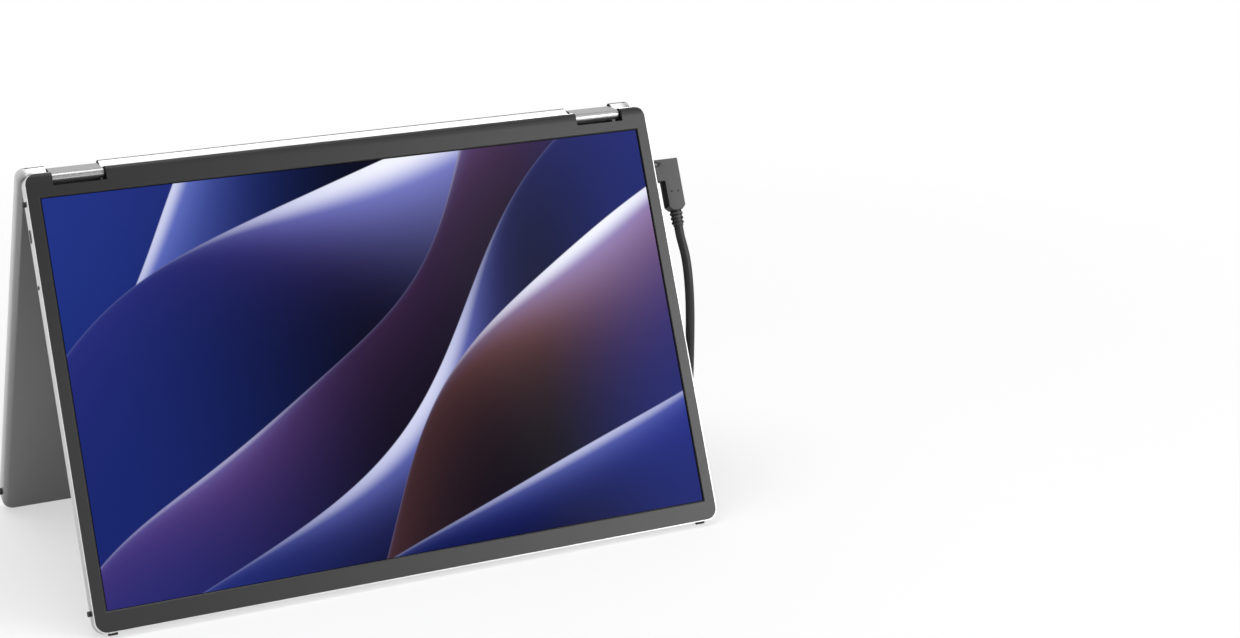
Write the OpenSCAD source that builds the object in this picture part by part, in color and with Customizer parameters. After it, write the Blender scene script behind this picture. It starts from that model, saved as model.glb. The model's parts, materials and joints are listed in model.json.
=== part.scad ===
// Dual-screen portable monitor, standing as a tent on its rubber feet.
// Millimetres. X runs along the hinge, Y to the back, Z up. The origin is on the floor,
// below the middle of the object. Each half is drawn lying flat in its own frame, with the
// hinge axis on X, the screen up and the free edge towards -Y, and then put in its place.

/* [Screens] */
// Width of the lit area of each screen
lit_w = 301.6; // [295:0.2:320]
// Height of the lit area of each screen
lit_h = 188.4; // [180:0.2:200]
// Distance from the hinge axis to the lit area
hinge_margin = 9.3; // [9:0.1:12]
// Dark border at the two sides
side_border = 5.25; // [5.2:0.05:10]
// Dark border at the free edge
free_border = 8.8; // [8:0.1:14]
// Glass that runs on past the lit area, under the bezel
glass_margin = 2.4; // [2:0.1:3]
// Glass ledge past the lit area that carries the driver strip
driver_ledge = 4.8; // [4:0.1:5.5]
// Thickness of the laminated panel
panel_t = 1.4; // [1:0.1:1.6]

/* [Casings] */
// Thickness of each half
half_t = 8.6; // [8:0.1:9]
// Gap between the two halves when they are folded together
fold_gap = 0.3; // [0.3:0.1:1]
// Wall of the aluminium cover
cover_wall = 1; // [0.8:0.05:1.1]
// Floor of the aluminium cover
cover_floor = 1; // [0.8:0.05:1.1]
// Corner radius of the cover, seen from the front
corner_r = 6; // [4:0.5:10]
// Rounding of the cover's back edge
back_round = 2.5; // [1:0.1:3]
// Width of the cover's rim round the bezel
rim_w = 0.45; // [0.4:0.05:0.7]
// Height that the bezel stands above the cover's rim
rim_step = 0.15; // [0.1:0.05:0.3]
// Thickness of the bezel
bezel_t = 1; // [0.8:0.05:1.2]
// Thickness of the bezel's lip over the glass
lip_t = 0.4; // [0.3:0.05:0.5]
// Thickness of the foam gasket under the lip
gasket_t = 0.2; // [0.15:0.05:0.3]
// Thickness of the stamped plate behind the panel
plate_t = 0.6; // [0.4:0.1:0.8]
// Width of the ledges that carry the plate
ledge_w = 2; // [1.5:0.1:2.5]

/* [Stance] */
// Lean of each half from upright
lean = 23.5; // [15:0.5:40]
// Radius of the rubber bars on the free edges
bar_r = 1.6; // [1.4:0.1:1.8]
// Length of each rubber bar
bar_l = 4; // [3:0.5:8]
// Depth of a bar's centre inside the free edge
bar_sink = 0.4; // [0.2:0.1:0.6]
// Distance from each side to the middle of the nearer bar
bar_inset = 8.5; // [8.5:0.5:50]
// Height of the rubber buttons on the left side
button_foot_h = 1.25; // [0.8:0.05:1.5]
// Radius of the rubber buttons on the left side
button_foot_r = 1.25; // [1:0.05:1.5]
// Distance from the hinge axis to the upper rubber button
upper_foot_y = 10.9; // [10.5:0.1:14]
// Distance from the free edge to the lower rubber button
lower_foot_y = 10; // [8:0.5:14]

/* [Hinge] */
// Distance from each side to the middle of the nearer hinge
hinge_inset = 25.5; // [23.5:0.5:57]
// Length of each hinge cap
cap_l = 23.8; // [23.6:0.1:24]
// Radius of the hinge cap round each axis
cap_r = 2.35; // [2.3:0.05:2.4]
// Wall of the hinge cap
cap_wall = 0.45; // [0.35:0.05:0.5]
// Gap at each end of a hinge cap
notch_end_gap = 0.6; // [0.4:0.1:1]
// Gap below the round of a hinge cap
notch_gap = 1.75; // [1.5:0.05:2]
// Distance that the cover's hinge edge reaches past the axis
edge_reach = 2.6; // [2.5:0.05:2.8]
// Wall round each notch
notch_wall = 1; // [0.8:0.1:1.2]
// Depth of the grooves along the hinge caps
groove_d = 0.3; // [0.2:0.05:0.4]
// Radius of the hinge shafts inside the caps
shaft_r = 0.8; // [0.7:0.05:0.85]
// Radial running clearance of every journal
run_gap = 0.05; // [0.02:0.01:0.08]
// Number of teeth on each timing gear
gear_teeth = 10; // [10:2:12]
// Face width of the timing gears
gear_w = 3; // [2:0.1:3.2]
// Thickness of the link plates
link_plate_t = 1; // [0.8:0.1:1.1]
// Length of the friction clips
clip_l = 6.4; // [5:0.1:6.6]

/* [Controls] */
// Distance from the hinge axis to the middle of the rocker key
rocker_y = 25.7; // [22:0.1:32]
// Length of the rocker key
rocker_l = 6; // [5:0.1:8]
// Width of the rocker key
rocker_w = 1.8; // [1.4:0.1:2.2]
// Swing of the rocker key to each side
rocker_swing = 4; // [2:0.5:4]
// Distance from the hinge axis to the power button
power_y = 49.3; // [42:0.1:62]
// Radius of the power button
power_r = 0.9; // [0.8:0.1:1.2]
// Travel of the power button
power_travel = 0.35; // [0.2:0.05:0.4]
// Height of both controls above the side wall
control_proud = 0.4; // [0.3:0.05:0.6]

/* [Cable] */
// Distance from the hinge axis to the middle of the data socket
socket_y = 31.2; // [30:0.05:36]
// Depth of the socket's axis below the middle of the half's thickness
socket_drop = 1; // [0.9:0.05:1.1]
// Diameter of the cable
cord_d = 4.6; // [4:0.1:5]
// Thickness of both plug bodies
plug_t = 6.6; // [6:0.1:7]
// Length of the angled plug's body along the side
plug_l = 24.2; // [22:0.1:26]
// Width of the angled plug's straight part
plug_w = 9; // [8.5:0.1:9.5]
// Length of the plug's metal nose
nose_l = 6.6; // [6:0.1:6.8]
// Length of the ribbed strain reliefs
relief_l = 8; // [6:0.5:12]

/* [Hidden] */
$fn = 48;
eps = 0.01;

// Outlines of one half in its own frame
half_w = lit_w / 2 + side_border + cover_wall;
free_y = -(hinge_margin + lit_h + free_border + cover_wall);
swing_r = half_t / 2;
face_z = half_t / 2;
back_z = -half_t / 2;
rim_z = face_z - rim_step;
floor_z = back_z + cover_floor;
seam = 0.1;
edge_step = 0.2;
cover_edge_r = edge_reach;
cover_edge_drop = swing_r - cover_edge_r;
bezel_edge_r = edge_reach - edge_step;
bezel_edge_rise = swing_r - bezel_edge_r;
edge_flat_inset = 1.2;
bezel_half_w = half_w - rim_w - seam;
bezel_free_y = free_y + rim_w + seam;
inner_corner_r = corner_r - cover_wall;
rim_corner_r = corner_r - rim_w;

// Layers from the glass inwards
panel_top_z = face_z - lip_t - gasket_t;
panel_bot_z = panel_top_z - panel_t;
plate_bot_z = panel_bot_z - plate_t;
glass_half_w = lit_w / 2 + glass_margin;
glass_top_y = -(hinge_margin - glass_margin);
glass_bot_y = -(hinge_margin + lit_h + driver_ledge);
lit_mid_y = -(hinge_margin + lit_h / 2);
glass_gap = 0.3;

// Stance
axis_gap = half_t + fold_gap;
bar_x = half_w - bar_inset;
bar_y = free_y + bar_sink;
axis_h = -bar_y * cos(lean) + bar_r;
x_shift = button_foot_h / 2;
ledge_x = half_w - cover_wall - ledge_w;
ledge_top_y = glass_top_y - 3;
ledge_h = plate_bot_z - floor_z;
lower_foot_half = 0.6;

// Hinge, with s measured from a cap's inner end outwards
hinge_x = half_w - hinge_inset;
notch_half = cap_l / 2 + notch_end_gap;
notch_y = -(cap_r + notch_gap);
cavity_r = cap_r - cap_wall;
end_wall = 1;
groove_angle = 33;
gear_pitch_r = axis_gap / 6;
gear_add = 0.17 * gear_pitch_r;
gear_ded = 0.22 * gear_pitch_r;
tooth_half = 360 / gear_teeth * 0.2;
half_pitch = 180 / gear_teeth;
// A tooth of the front pinion and a gap of the rear one point along the line of gears
front_phase = lean - 90;
rear_phase = front_phase + half_pitch;
plate_gap = 0.3;
clip_s = link_plate_t + plate_gap;
plate_2_s = clip_s + clip_l + plate_gap;
gear_s = plate_2_s + link_plate_t + plate_gap;
plate_3_s = gear_s + gear_w + plate_gap;
rivet_s = plate_3_s + link_plate_t + 0.1;
rivet_t = 0.6;
rivet_r = 1.2;
idler_journal_r = 0.5;
knuckle_r = edge_reach - cover_wall - 0.1;
knuckle_l = 12;
knuckle_s = -(notch_end_gap + notch_wall + 1);
shaft_neck_r = shaft_r + 0.2;
shaft_hole_r = shaft_neck_r + 0.3;
shaft_step_gap = 0.2;
coax_r = 0.7;
coax_hole_r = coax_r + 0.25;
cable_bend_s = cap_l - 4.4;

// Screws and boards
boss_h = 1.4;
boss_z = floor_z + boss_h;
boss_r = 2;
board_t = 0.8;
board_top_z = boss_z + board_t;
screw_r = 0.95;
screw_hole_r = 1;
screw_head_r = 1.6;
screw_head_h = 0.5;
screw_l = 1.2;
screw_floor = 0.3;
leaf_l = 13.5;
leaf_reach = 13;
leaf_inner_x = hinge_x - cap_l / 2 + knuckle_s - knuckle_l;
strip_ends = 54.8;
strip_half_l = lit_w / 2 - strip_ends;
ribbon_w = 14;
ribbon_t = 0.3;
ribbon_inset = 10;
ribbon_x = strip_half_l - ribbon_inset;
board_reach = 40;
board_low = 27;
board_high = 10;
board_x0 = ribbon_x - board_reach;
board_x1 = ledge_x - 0.3;
board_y0 = -(socket_y + board_low);
board_y1 = -(socket_y - board_high);
screw_inset = 4;
screw_clear = 22;
board_screws = screw_places(board_x0, board_y0);
bridge_step = [20, 16];
bridge_x0 = board_x0 + bridge_step[0];
bridge_y0 = board_y0 + bridge_step[1];
bridge_screws = screw_places(bridge_x0, bridge_y0);
leaf_screws = [for (x = [3.5, leaf_l - 3.5]) for (y = [-5.2, -leaf_reach + 2.6]) [leaf_inner_x - 1 + x, y]];
strip_w = 7;
strip_y0 = glass_bot_y + 1.6;
strip_t = 0.8;
flex_t = 0.15;
flex_w = 34;
flex_xs = [for (i = [-1 : 1]) i * 0.65 * strip_half_l];
connector_l = 16;
connector_w = 4;
chip_l = 7;
chip_h = 0.8;
chip_inset = 8;
chip_pitch = 22;
shield_l = 36;
shield_w = 20;
shield_h = 1.4;
shield_sheet = 0.2;
shield_x0 = board_x1 - shield_l - 26;
plate_slot_half = 22;
plate_slot_r = 9;

// Controls
wall_x = -half_w;
foot_outer_x = wall_x - button_foot_h;
foot_body_l = button_foot_h + cover_wall / 2;
wall_in_x = -(half_w - cover_wall);
control_gap = 0.15;
flange_t = 0.5;
flange_lap = 0.5;
flange_gap = (rocker_l / 2 + flange_lap) * sin(rocker_swing) + 0.1;
rocker_pivot_x = wall_in_x + flange_gap + flange_t / 2;
rocker_end_gap = (rocker_pivot_x - wall_x + control_proud) * sin(rocker_swing) + 0.1;
pivot_pin_r = 0.2;
pivot_pin_l = 0.5;
control_z = 0;
switch_gap = power_travel + 0.1;
control_board_x = wall_in_x + flange_gap + flange_t + switch_gap + 1.2;
control_board_y0 = -(power_y + 4);
control_board_y1 = -(rocker_y - rocker_l / 2 - 1.5);
control_half_h = 1.4;

// Socket and plugs
socket_z = -socket_drop;
socket_l = 7.4;
socket_half_y = 4.55;
socket_half_z = 1.6;
socket_shell = 0.3;
nose_half_y = 4.13;
nose_half_z = 1.2;
socket_face_x = half_w - 0.3;
plug_face_gap = 0.5;
plug_x0 = half_w + plug_face_gap;
plug_step = 4.8;
plug_arm_half = 5.5;
plug_x1 = plug_x0 + plug_step + plug_w;
plug_mid_x = plug_x1 - plug_w / 2;
plug_y1 = -(socket_y - plug_arm_half);
plug_y0 = plug_y1 - plug_l;
plug_chamfer = 2;
relief_neck_r = 2.9;
relief_rib_r = 3.3;
rib_count = 3;
far_plug_l = 20;
far_plug_half_w = 5.3;

// Cord: straight out of the relief, down under its own weight, and along the floor
cord_r = cord_d / 2;
cord_exit_y = plug_y0 - plug_chamfer - relief_l;
cord_exit = front_point([plug_mid_x, cord_exit_y, socket_z]);
cord_route = [
    [168, -33.2, 124], [168, -37, 114], [168, -39, 103], [168, -39.8, 91], [168, -39.8, 79],
    [168, -39.5, 67], [168, -38.8, 55], [168, -37.1, 44], [168, -33, 33], [168, -27, 23.5],
    [168, -19, 15.5], [168, -9.5, 9], [168, 1, 5], [168, 12, 3], [168, 24, 2.3],
    [168, 36, 2.3], [168, 48, 2.3], [168, 60, 2.3], [169, 72, 2.3], [170, 84, 2.3],
    [170, 96, 2.3], [170, 106, 2.3], [170, 115, 2.6], [170, 124, 3.1], [170, 132, 3.3]
];
cord_sides = 8;
coil_center = [137, 142];
coil_out_r = 33;
coil_turns = 5.25;
coil_pitch = cord_d + 0.5;
coil_z = 3.3;
coil_rings = 24;
coil_sides = 6;
climb_turns = 0.5;
lead_out = 46;
lead_out_flat = 4;
lead_steps = 7;
far_plug_z = plug_t / 2;
tie_w = 9;
tie_slack = 0.3;
tie_t = 0.8;
tie_gap = 0.2;
tie_angle = 200;

// Colours
aluminium = [0.78, 0.79, 0.80];
bezel_grey = [0.26, 0.26, 0.26];
glass_black = [0.07, 0.09, 0.30];
steel = [0.62, 0.63, 0.65];
plate_grey = [0.50, 0.51, 0.53];
rubber_black = [0.10, 0.10, 0.10];
board_green = [0.10, 0.30, 0.22];
flex_amber = [0.70, 0.45, 0.12];
plug_grey = [0.38, 0.38, 0.39];
cord_black = [0.13, 0.13, 0.14];

// Places

function screw_places(x0, y0) =
    [for (x = [x0 + screw_inset, board_x1 - screw_clear]) for (y = [y0 + screw_inset, board_y1 - screw_inset]) [x, y]];
function front_point(p) = [
    p[0] + x_shift,
    -axis_gap / 2 + p[1] * sin(lean) - p[2] * cos(lean),
    axis_h + p[1] * cos(lean) + p[2] * sin(lean)
];
function front_direction(d) = [
    d[0], d[1] * sin(lean) - d[2] * cos(lean), d[1] * cos(lean) + d[2] * sin(lean)
];

module in_front() {
    translate([x_shift, -axis_gap / 2, axis_h]) rotate([90 - lean, 0, 0]) children();
}

module in_rear() {
    mirror([0, 1, 0]) in_front() children();
}

module in_link() {
    translate([x_shift, 0, axis_h]) children();
}

// Puts what is drawn with s along X at the hinge on the side given, 1 right and -1 left
module at_hinge(side) {
    mirror([side < 0 ? 1 : 0, 0, 0]) translate([hinge_x - cap_l / 2, 0, 0]) children();
}

// Extrudes a section drawn in Y and Z along X
module along_x(x0, length) {
    translate([x0, 0, 0]) rotate([90, 0, 90]) linear_extrude(length) children();
}

// Extrudes a section drawn in X and Z along -Y, starting at y
module along_y(y, length) {
    translate([0, y, 0]) rotate([90, 0, 0]) linear_extrude(length) children();
}

module round_rect(x0, x1, y0, y1, r) {
    translate([x0 + r, y0]) square([x1 - x0 - 2 * r, y1 - y0]);
    translate([x0, y0 + r]) square([x1 - x0, y1 - y0 - 2 * r]);
    for (x = [x0 + r, x1 - r]) for (y = [y0 + r, y1 - r]) translate([x, y]) circle(r);
}

// A slot with round ends, its long way along X
module stadium(half_l, r) {
    translate([-half_l + r, -r]) square([2 * (half_l - r), 2 * r]);
    for (s = [-1, 1]) translate([s * (half_l - r), 0]) circle(r);
}

// One side of the cover's section: flat back, rounded edge, upright wall
module edge_profile(r, z0, z1) {
    translate([0, z0 + back_round]) square([r, z1 - z0 - back_round]);
    translate([0, z0]) square([r - back_round, back_round + eps]);
    intersection() {
        translate([r - back_round, z0 + back_round]) circle(back_round);
        translate([0, z0]) square([r, back_round]);
    }
}

module edge_profile_pair(r, z0, z1) {
    edge_profile(r, z0, z1);
    mirror([1, 0]) edge_profile(r, z0, z1);
}

// Block with rounded corners and a rounded back edge all round
module cover_block(y1) {
    cx = half_w - corner_r;
    y_low = free_y + corner_r;
    y_high = y1 - corner_r;
    for (x = [-cx, cx]) {
        for (y = [y_low, y_high]) {
            translate([x, y, 0]) rotate_extrude() edge_profile(corner_r, back_z, rim_z);
        }
        translate([x, 0, 0]) along_y(y_high, y_high - y_low) edge_profile_pair(corner_r, back_z, rim_z);
    }
    for (y = [y_low, y_high]) translate([0, y, 0]) along_x(-cx, 2 * cx) edge_profile_pair(corner_r, back_z, rim_z);
    translate([-cx, y_low, back_z]) cube([2 * cx, y_high - y_low, rim_z - back_z]);
}

// Section that rounds the hinge edge: an arc from the flat back, r below centre_z, up to y = r at centre_z
module hinge_edge_section(r, centre_z, top_z) {
    span = r + edge_flat_inset;
    arc_r = (span * span + r * r) / (2 * r);
    translate([free_y - 1, centre_z - r]) square([-free_y + 1 - edge_flat_inset, top_z - centre_z + r]);
    translate([-edge_flat_inset - eps, centre_z]) square([span + eps, top_z - centre_z]);
    intersection() {
        translate([-edge_flat_inset, centre_z - r + arc_r]) circle(arc_r);
        translate([-edge_flat_inset - eps, centre_z - r]) square([span + eps, r + eps]);
    }
}

// Section over which the bezel rolls down to the hinge edge
module bezel_roll_section(r, plate) {
    translate([free_y - 1, bezel_edge_rise + r - plate]) square([-free_y + 1, plate]);
    intersection() {
        translate([0, bezel_edge_rise]) difference() {
            circle(r);
            circle(r - plate);
        }
        translate([-eps, bezel_edge_rise]) square([r + 1, r + 1]);
    }
}

// The two notches for the hinge caps, grown by a wall
module notches(wall) {
    for (side = [-1, 1]) {
        translate([side * hinge_x - notch_half - wall, notch_y - wall, back_z - 1]) {
            cube([2 * (notch_half + wall), -notch_y + wall + swing_r + 1, half_t + 2]);
        }
    }
}

// Casings

module cover() {
    difference() {
        union() {
            difference() {
                intersection() {
                    cover_block(cover_edge_r);
                    along_x(-half_w, 2 * half_w) {
                        hinge_edge_section(cover_edge_r, -cover_edge_drop, face_z);
                    }
                }
                cover_pocket();
            }
            intersection() {
                notches(notch_wall);
                along_x(-half_w, 2 * half_w) {
                    hinge_edge_section(cover_edge_r, -cover_edge_drop, bezel_edge_rise - seam / 2);
                }
            }
            cover_ledges();
        }
        notches(0);
        // Room for the bezel down to its hinge edge
        translate([0, 0, bezel_edge_rise - seam / 2]) linear_extrude(half_t) {
            round_rect(-half_w + rim_w, half_w - rim_w, free_y + rim_w,
                bezel_edge_r + seam, rim_corner_r);
        }
        // The rim follows the bezel's curve at the corners
        difference() {
            translate([-half_w - 1, 0, bezel_edge_rise - seam / 2]) cube([2 * half_w + 2, swing_r + 1, half_t]);
            translate([0, 0, bezel_edge_rise]) rotate([0, 90, 0]) {
                cylinder(h = 2 * half_w + 4, r = bezel_edge_r - rim_step, center = true);
            }
        }
        for (side = [-1, 1]) at_hinge(side) shaft_and_lead_holes();
    }
}

module cover_pocket() {
    intersection() {
        translate([0, 0, floor_z]) linear_extrude(half_t) {
            round_rect(-half_w + cover_wall, half_w - cover_wall, free_y + cover_wall,
                cover_edge_r - cover_wall, inner_corner_r);
        }
        along_x(-half_w, 2 * half_w) {
            hinge_edge_section(cover_edge_r - cover_wall, -cover_edge_drop, face_z + 1);
        }
    }
}

module cover_ledges() {
    y0 = free_y + corner_r;
    for (x = [-half_w + cover_wall / 2, ledge_x]) {
        translate([x, y0, floor_z - eps]) cube([ledge_w + cover_wall / 2, ledge_top_y - y0, ledge_h + eps]);
    }
}

// Holes along the axis through the notch's inner and outer walls
module shaft_and_lead_holes() {
    translate([-notch_end_gap - notch_wall - 1, 0, 0]) rotate([0, 90, 0]) cylinder(h = notch_wall + 2, r = shaft_hole_r);
    translate([cap_l + notch_end_gap - 1, 0, 0]) rotate([0, 90, 0]) cylinder(h = notch_wall + 2, r = coax_hole_r);
}

module bosses(places) {
    for (p = places) translate([p[0], p[1], floor_z - eps]) cylinder(h = boss_h + eps, r = boss_r);
}

module boss_holes(places) {
    for (p = places) translate([p[0], p[1], back_z + screw_floor]) cylinder(h = half_t, r = screw_hole_r);
}

// Pockets for the rubber pieces: bars at the free edge, buttons at the left side
module foot_pockets() {
    for (side = [-1, 1]) {
        translate([side * bar_x - bar_l / 2, bar_y, 0]) rotate([0, 90, 0]) cylinder(h = bar_l, r = bar_r);
    }
    lower_foot_body();
}

// The rubber buttons' bodies, from just outside the left wall into it: round near the hinge, oblong below
module upper_foot_body() {
    translate([foot_outer_x, -upper_foot_y, 0]) rotate([0, 90, 0]) cylinder(h = foot_body_l, r = button_foot_r);
}

module lower_foot_body() {
    translate([foot_outer_x, free_y + lower_foot_y, 0]) rotate([0, 90, 0]) {
        linear_extrude(foot_body_l) stadium(button_foot_r + lower_foot_half, button_foot_r);
    }
}

module front_cover() color(aluminium) in_front() {
    difference() {
        union() {
            cover();
            bosses(concat(leaf_screws, mirror_x(leaf_screws), board_screws));
        }
        boss_holes(concat(leaf_screws, mirror_x(leaf_screws), board_screws));
        foot_pockets();
        upper_foot_body();
        socket_opening();
        control_openings();
    }
}

module rear_cover() color(aluminium) in_rear() {
    difference() {
        union() {
            cover();
            bosses(concat(leaf_screws, mirror_x(leaf_screws), bridge_screws));
        }
        boss_holes(concat(leaf_screws, mirror_x(leaf_screws), bridge_screws));
        foot_pockets();
    }
}

function mirror_x(places) = [for (p = places) [-p[0], p[1]]];

// The oblong hole for the socket, and its recess in the ledge
module socket_opening() {
    gap = 0.15;
    translate([half_w - cover_wall - 1, -socket_y, socket_z]) rotate([0, 90, 0]) rotate([0, 0, 90]) {
        linear_extrude(cover_wall + 2) stadium(socket_half_y + gap, socket_half_z + gap);
    }
    translate([ledge_x - 1, -socket_y - socket_half_y - gap, floor_z]) {
        cube([half_w - cover_wall - ledge_x + 1, 2 * (socket_half_y + gap), ledge_h + 1]);
    }
}

module control_openings() {
    translate([wall_x - 1, -rocker_y, control_z]) rotate([0, 90, 0]) rotate([0, 0, 90]) {
        linear_extrude(cover_wall + 2) stadium(rocker_l / 2 + rocker_end_gap, rocker_w / 2 + control_gap);
    }
    translate([wall_x - 1, -power_y, control_z]) rotate([0, 90, 0]) {
        cylinder(h = cover_wall + 2, r = power_r + control_gap);
    }
    translate([wall_in_x, control_board_y0 - 1, floor_z]) {
        cube([ledge_w + 1, control_board_y1 - control_board_y0 + 2, ledge_h + 1]);
    }
}

module bezel() color(bezel_grey) {
    difference() {
        union() {
            intersection() {
                bezel_plan(bezel_edge_rise, bezel_half_w);
                along_x(-half_w, 2 * half_w) bezel_roll_section(bezel_edge_r, bezel_t);
            }
            intersection() {
                union() {
                    notches(notch_wall);
                    bezel_skirt();
                }
                bezel_plan(bezel_edge_rise, bezel_half_w);
                along_x(-half_w, 2 * half_w) {
                    translate([free_y, bezel_edge_rise]) square([-free_y, bezel_edge_r]);
                    intersection() {
                        translate([0, bezel_edge_rise]) circle(bezel_edge_r);
                        translate([-eps, bezel_edge_rise]) square([swing_r, swing_r]);
                    }
                }
            }
        }
        notches(0);
        // Window, and the recess under the lip for the glass and its gasket
        translate([-lit_w / 2, lit_mid_y - lit_h / 2, 0]) cube([lit_w, lit_h, face_z + 1]);
        translate([-glass_half_w - glass_gap, glass_bot_y - glass_gap, 0]) {
            cube([2 * (glass_half_w + glass_gap), glass_top_y - glass_bot_y + 2 * glass_gap, face_z - lip_t]);
        }
    }
}

module bezel_plan(z0, w) {
    translate([0, 0, z0]) linear_extrude(face_z - z0) {
        round_rect(-w, w, bezel_free_y, bezel_edge_r, rim_corner_r);
    }
}

// Room for the bezel's skirt, which stands on the cover's wall at the sides and the free edge
module bezel_skirt() {
    difference() {
        translate([-half_w, free_y, 0]) cube([2 * half_w, swing_r - free_y, half_t]);
        translate([0, 0, -1]) linear_extrude(half_t + 2) {
            round_rect(-half_w + cover_wall, half_w - cover_wall, free_y + cover_wall, half_t, inner_corner_r);
        }
    }
}

module panel() color(glass_black) {
    translate([-glass_half_w, glass_bot_y, panel_bot_z]) {
        cube([2 * glass_half_w, glass_top_y - glass_bot_y, panel_t]);
    }
}

module gasket() color(rubber_black) {
    inset = 0.4;
    translate([0, 0, panel_top_z]) linear_extrude(gasket_t) difference() {
        translate([-glass_half_w, glass_bot_y]) square([2 * glass_half_w, glass_top_y - glass_bot_y]);
        translate([-lit_w / 2 - inset, lit_mid_y - lit_h / 2 - inset]) square([lit_w + 2 * inset, lit_h + 2 * inset]);
    }
}

// Stamped plate behind the panel, with nine slots
module plate() color(plate_grey) {
    half = half_w - cover_wall - 0.2;
    y0 = glass_bot_y + 0.8;
    translate([0, 0, plate_bot_z]) linear_extrude(plate_t) difference() {
        translate([-half, y0]) square([2 * half, glass_top_y - y0]);
        for (i = [-1 : 1]) for (j = [-1 : 1]) {
            translate([i * lit_w / 3, lit_mid_y + j * lit_h / 5]) stadium(plate_slot_half, plate_slot_r);
        }
    }
}

// Hinge hardware that belongs to each half

module bracket(side) color(steel) at_hinge(side) {
    x0 = knuckle_s - knuckle_l;
    difference() {
        union() {
            translate([x0, 0, 0]) rotate([0, 90, 0]) cylinder(h = knuckle_l, r = knuckle_r);
            translate([x0 - 1, -leaf_reach, boss_z]) cube([leaf_l, leaf_reach - 1, board_t]);
            translate([x0, -3, boss_z]) cube([knuckle_l, 3, -boss_z]);
        }
        translate([x0 - 1, 0, 0]) rotate([0, 90, 0]) cylinder(h = knuckle_l + 2, r = shaft_neck_r);
        for (p = leaf_screws) {
            translate([p[0] - hinge_x + cap_l / 2, p[1], boss_z - 1]) cylinder(h = board_t + 2, r = screw_hole_r);
        }
    }
}

// Shaft with its pinion, from the bracket's knuckle to a riveted end behind the last link plate
module shaft(side, phase) color(steel) at_hinge(side) {
    x0 = knuckle_s - knuckle_l;
    rotate([0, 90, 0]) {
        translate([0, 0, x0]) cylinder(h = -x0 - shaft_step_gap, r = shaft_neck_r);
        translate([0, 0, x0]) cylinder(h = rivet_s + rivet_t - x0, r = shaft_r);
        translate([0, 0, rivet_s]) cylinder(h = rivet_t, r = rivet_r);
    }
    gear(phase);
}

// Spur gear on the axis at gear_s, with straight-flanked teeth
module gear(phase) {
    root_r = gear_pitch_r - gear_ded;
    tip_r = gear_pitch_r + gear_add;
    tip_half = tooth_half * 0.5;
    root_half = tooth_half * 1.35;
    points = [
        for (i = [0 : gear_teeth - 1]) for (k = [[root_r, -root_half], [tip_r, -tip_half], [tip_r, tip_half], [root_r, root_half]])
            let (a = phase + i * 360 / gear_teeth + k[1]) [k[0] * cos(a), k[0] * sin(a)]
    ];
    along_x(gear_s, gear_w) polygon(points);
}

module screws(places) color(steel) {
    for (p = places) translate([p[0], p[1], board_top_z - screw_l]) {
        cylinder(h = screw_l, r = screw_r);
        translate([0, 0, screw_l]) cylinder(h = screw_head_h, r = screw_head_r);
    }
}

// Feet

module edge_feet() color(rubber_black) {
    for (side = [-1, 1]) {
        translate([side * bar_x - bar_l / 2, bar_y, 0]) rotate([0, 90, 0]) cylinder(h = bar_l, r = bar_r);
    }
}

// Electronics

module driver_strip() color(board_green) {
    translate([-strip_half_l, strip_y0, plate_bot_z - strip_t]) cube([2 * strip_half_l, strip_w, strip_t]);
}

// Flexes that fold from the glass ledge round the plate's edge to the driver strip
module panel_flexes() color(flex_amber) {
    z_top = panel_bot_z;
    z_bot = plate_bot_z - strip_t;
    r = (z_top - z_bot) / 2;
    for (x = flex_xs) along_x(x - flex_w / 2, flex_w) {
        translate([glass_bot_y, (z_top + z_bot) / 2]) difference() {
            circle(r + flex_t);
            circle(r);
            translate([0, -2 * r]) square(4 * r);
        }
        translate([glass_bot_y, z_bot - flex_t]) square([strip_y0 - glass_bot_y + 2, flex_t]);
    }
}

module display_cable(board_low_y) color(flex_amber) {
    y0 = strip_y0 + strip_w;
    translate([ribbon_x - ribbon_w / 2, y0, plate_bot_z - ribbon_t]) {
        cube([ribbon_w, board_low_y + connector_w - y0, ribbon_t]);
    }
}

// Coax bundle from the hinge, along the axis, round a bend and down onto the board
module hinge_lead(board_edge_y) color(cord_black) at_hinge(1) {
    bend_r = 3;
    start = cap_l + notch_end_gap + notch_wall + 0.9;
    translate([start, 0, 0]) rotate([0, 90, 0]) cylinder(h = 1, r = coax_r);
    translate([start + 1, -bend_r, 0]) rotate_extrude(angle = 90) translate([bend_r, 0]) circle(coax_r);
    translate([start + 1 + bend_r, board_edge_y - 2, 0]) rotate([-90, 0, 0]) {
        cylinder(h = -bend_r - board_edge_y + 2, r = coax_r);
    }
}

module board(x0, y0, places) {
    difference() {
        union() {
            translate([x0, y0, boss_z]) cube([board_x1 - x0, board_y1 - y0, board_t]);
            translate([ribbon_x - connector_l / 2, y0, board_top_z]) {
                cube([connector_l, connector_w, plate_bot_z - ribbon_t - board_top_z]);
            }
            for (i = [0 : 1]) {
                translate([x0 + chip_inset + i * chip_pitch, board_y1 - chip_l - screw_inset, board_top_z]) {
                    cube([chip_l, chip_l, chip_h]);
                }
            }
        }
        for (p = places) translate([p[0], p[1], boss_z - 1]) cylinder(h = board_t + 2, r = screw_hole_r);
    }
}

module main_board() color(board_green) in_front() difference() {
    board(board_x0, board_y0, board_screws);
    gap = 0.1;
    translate([socket_face_x - socket_l - gap, -socket_y - socket_half_y - gap, back_z]) {
        cube([half_w, 2 * (socket_half_y + gap), half_t]);
    }
}

module bridge_board() color(board_green) in_rear() board(bridge_x0, bridge_y0, bridge_screws);

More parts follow.
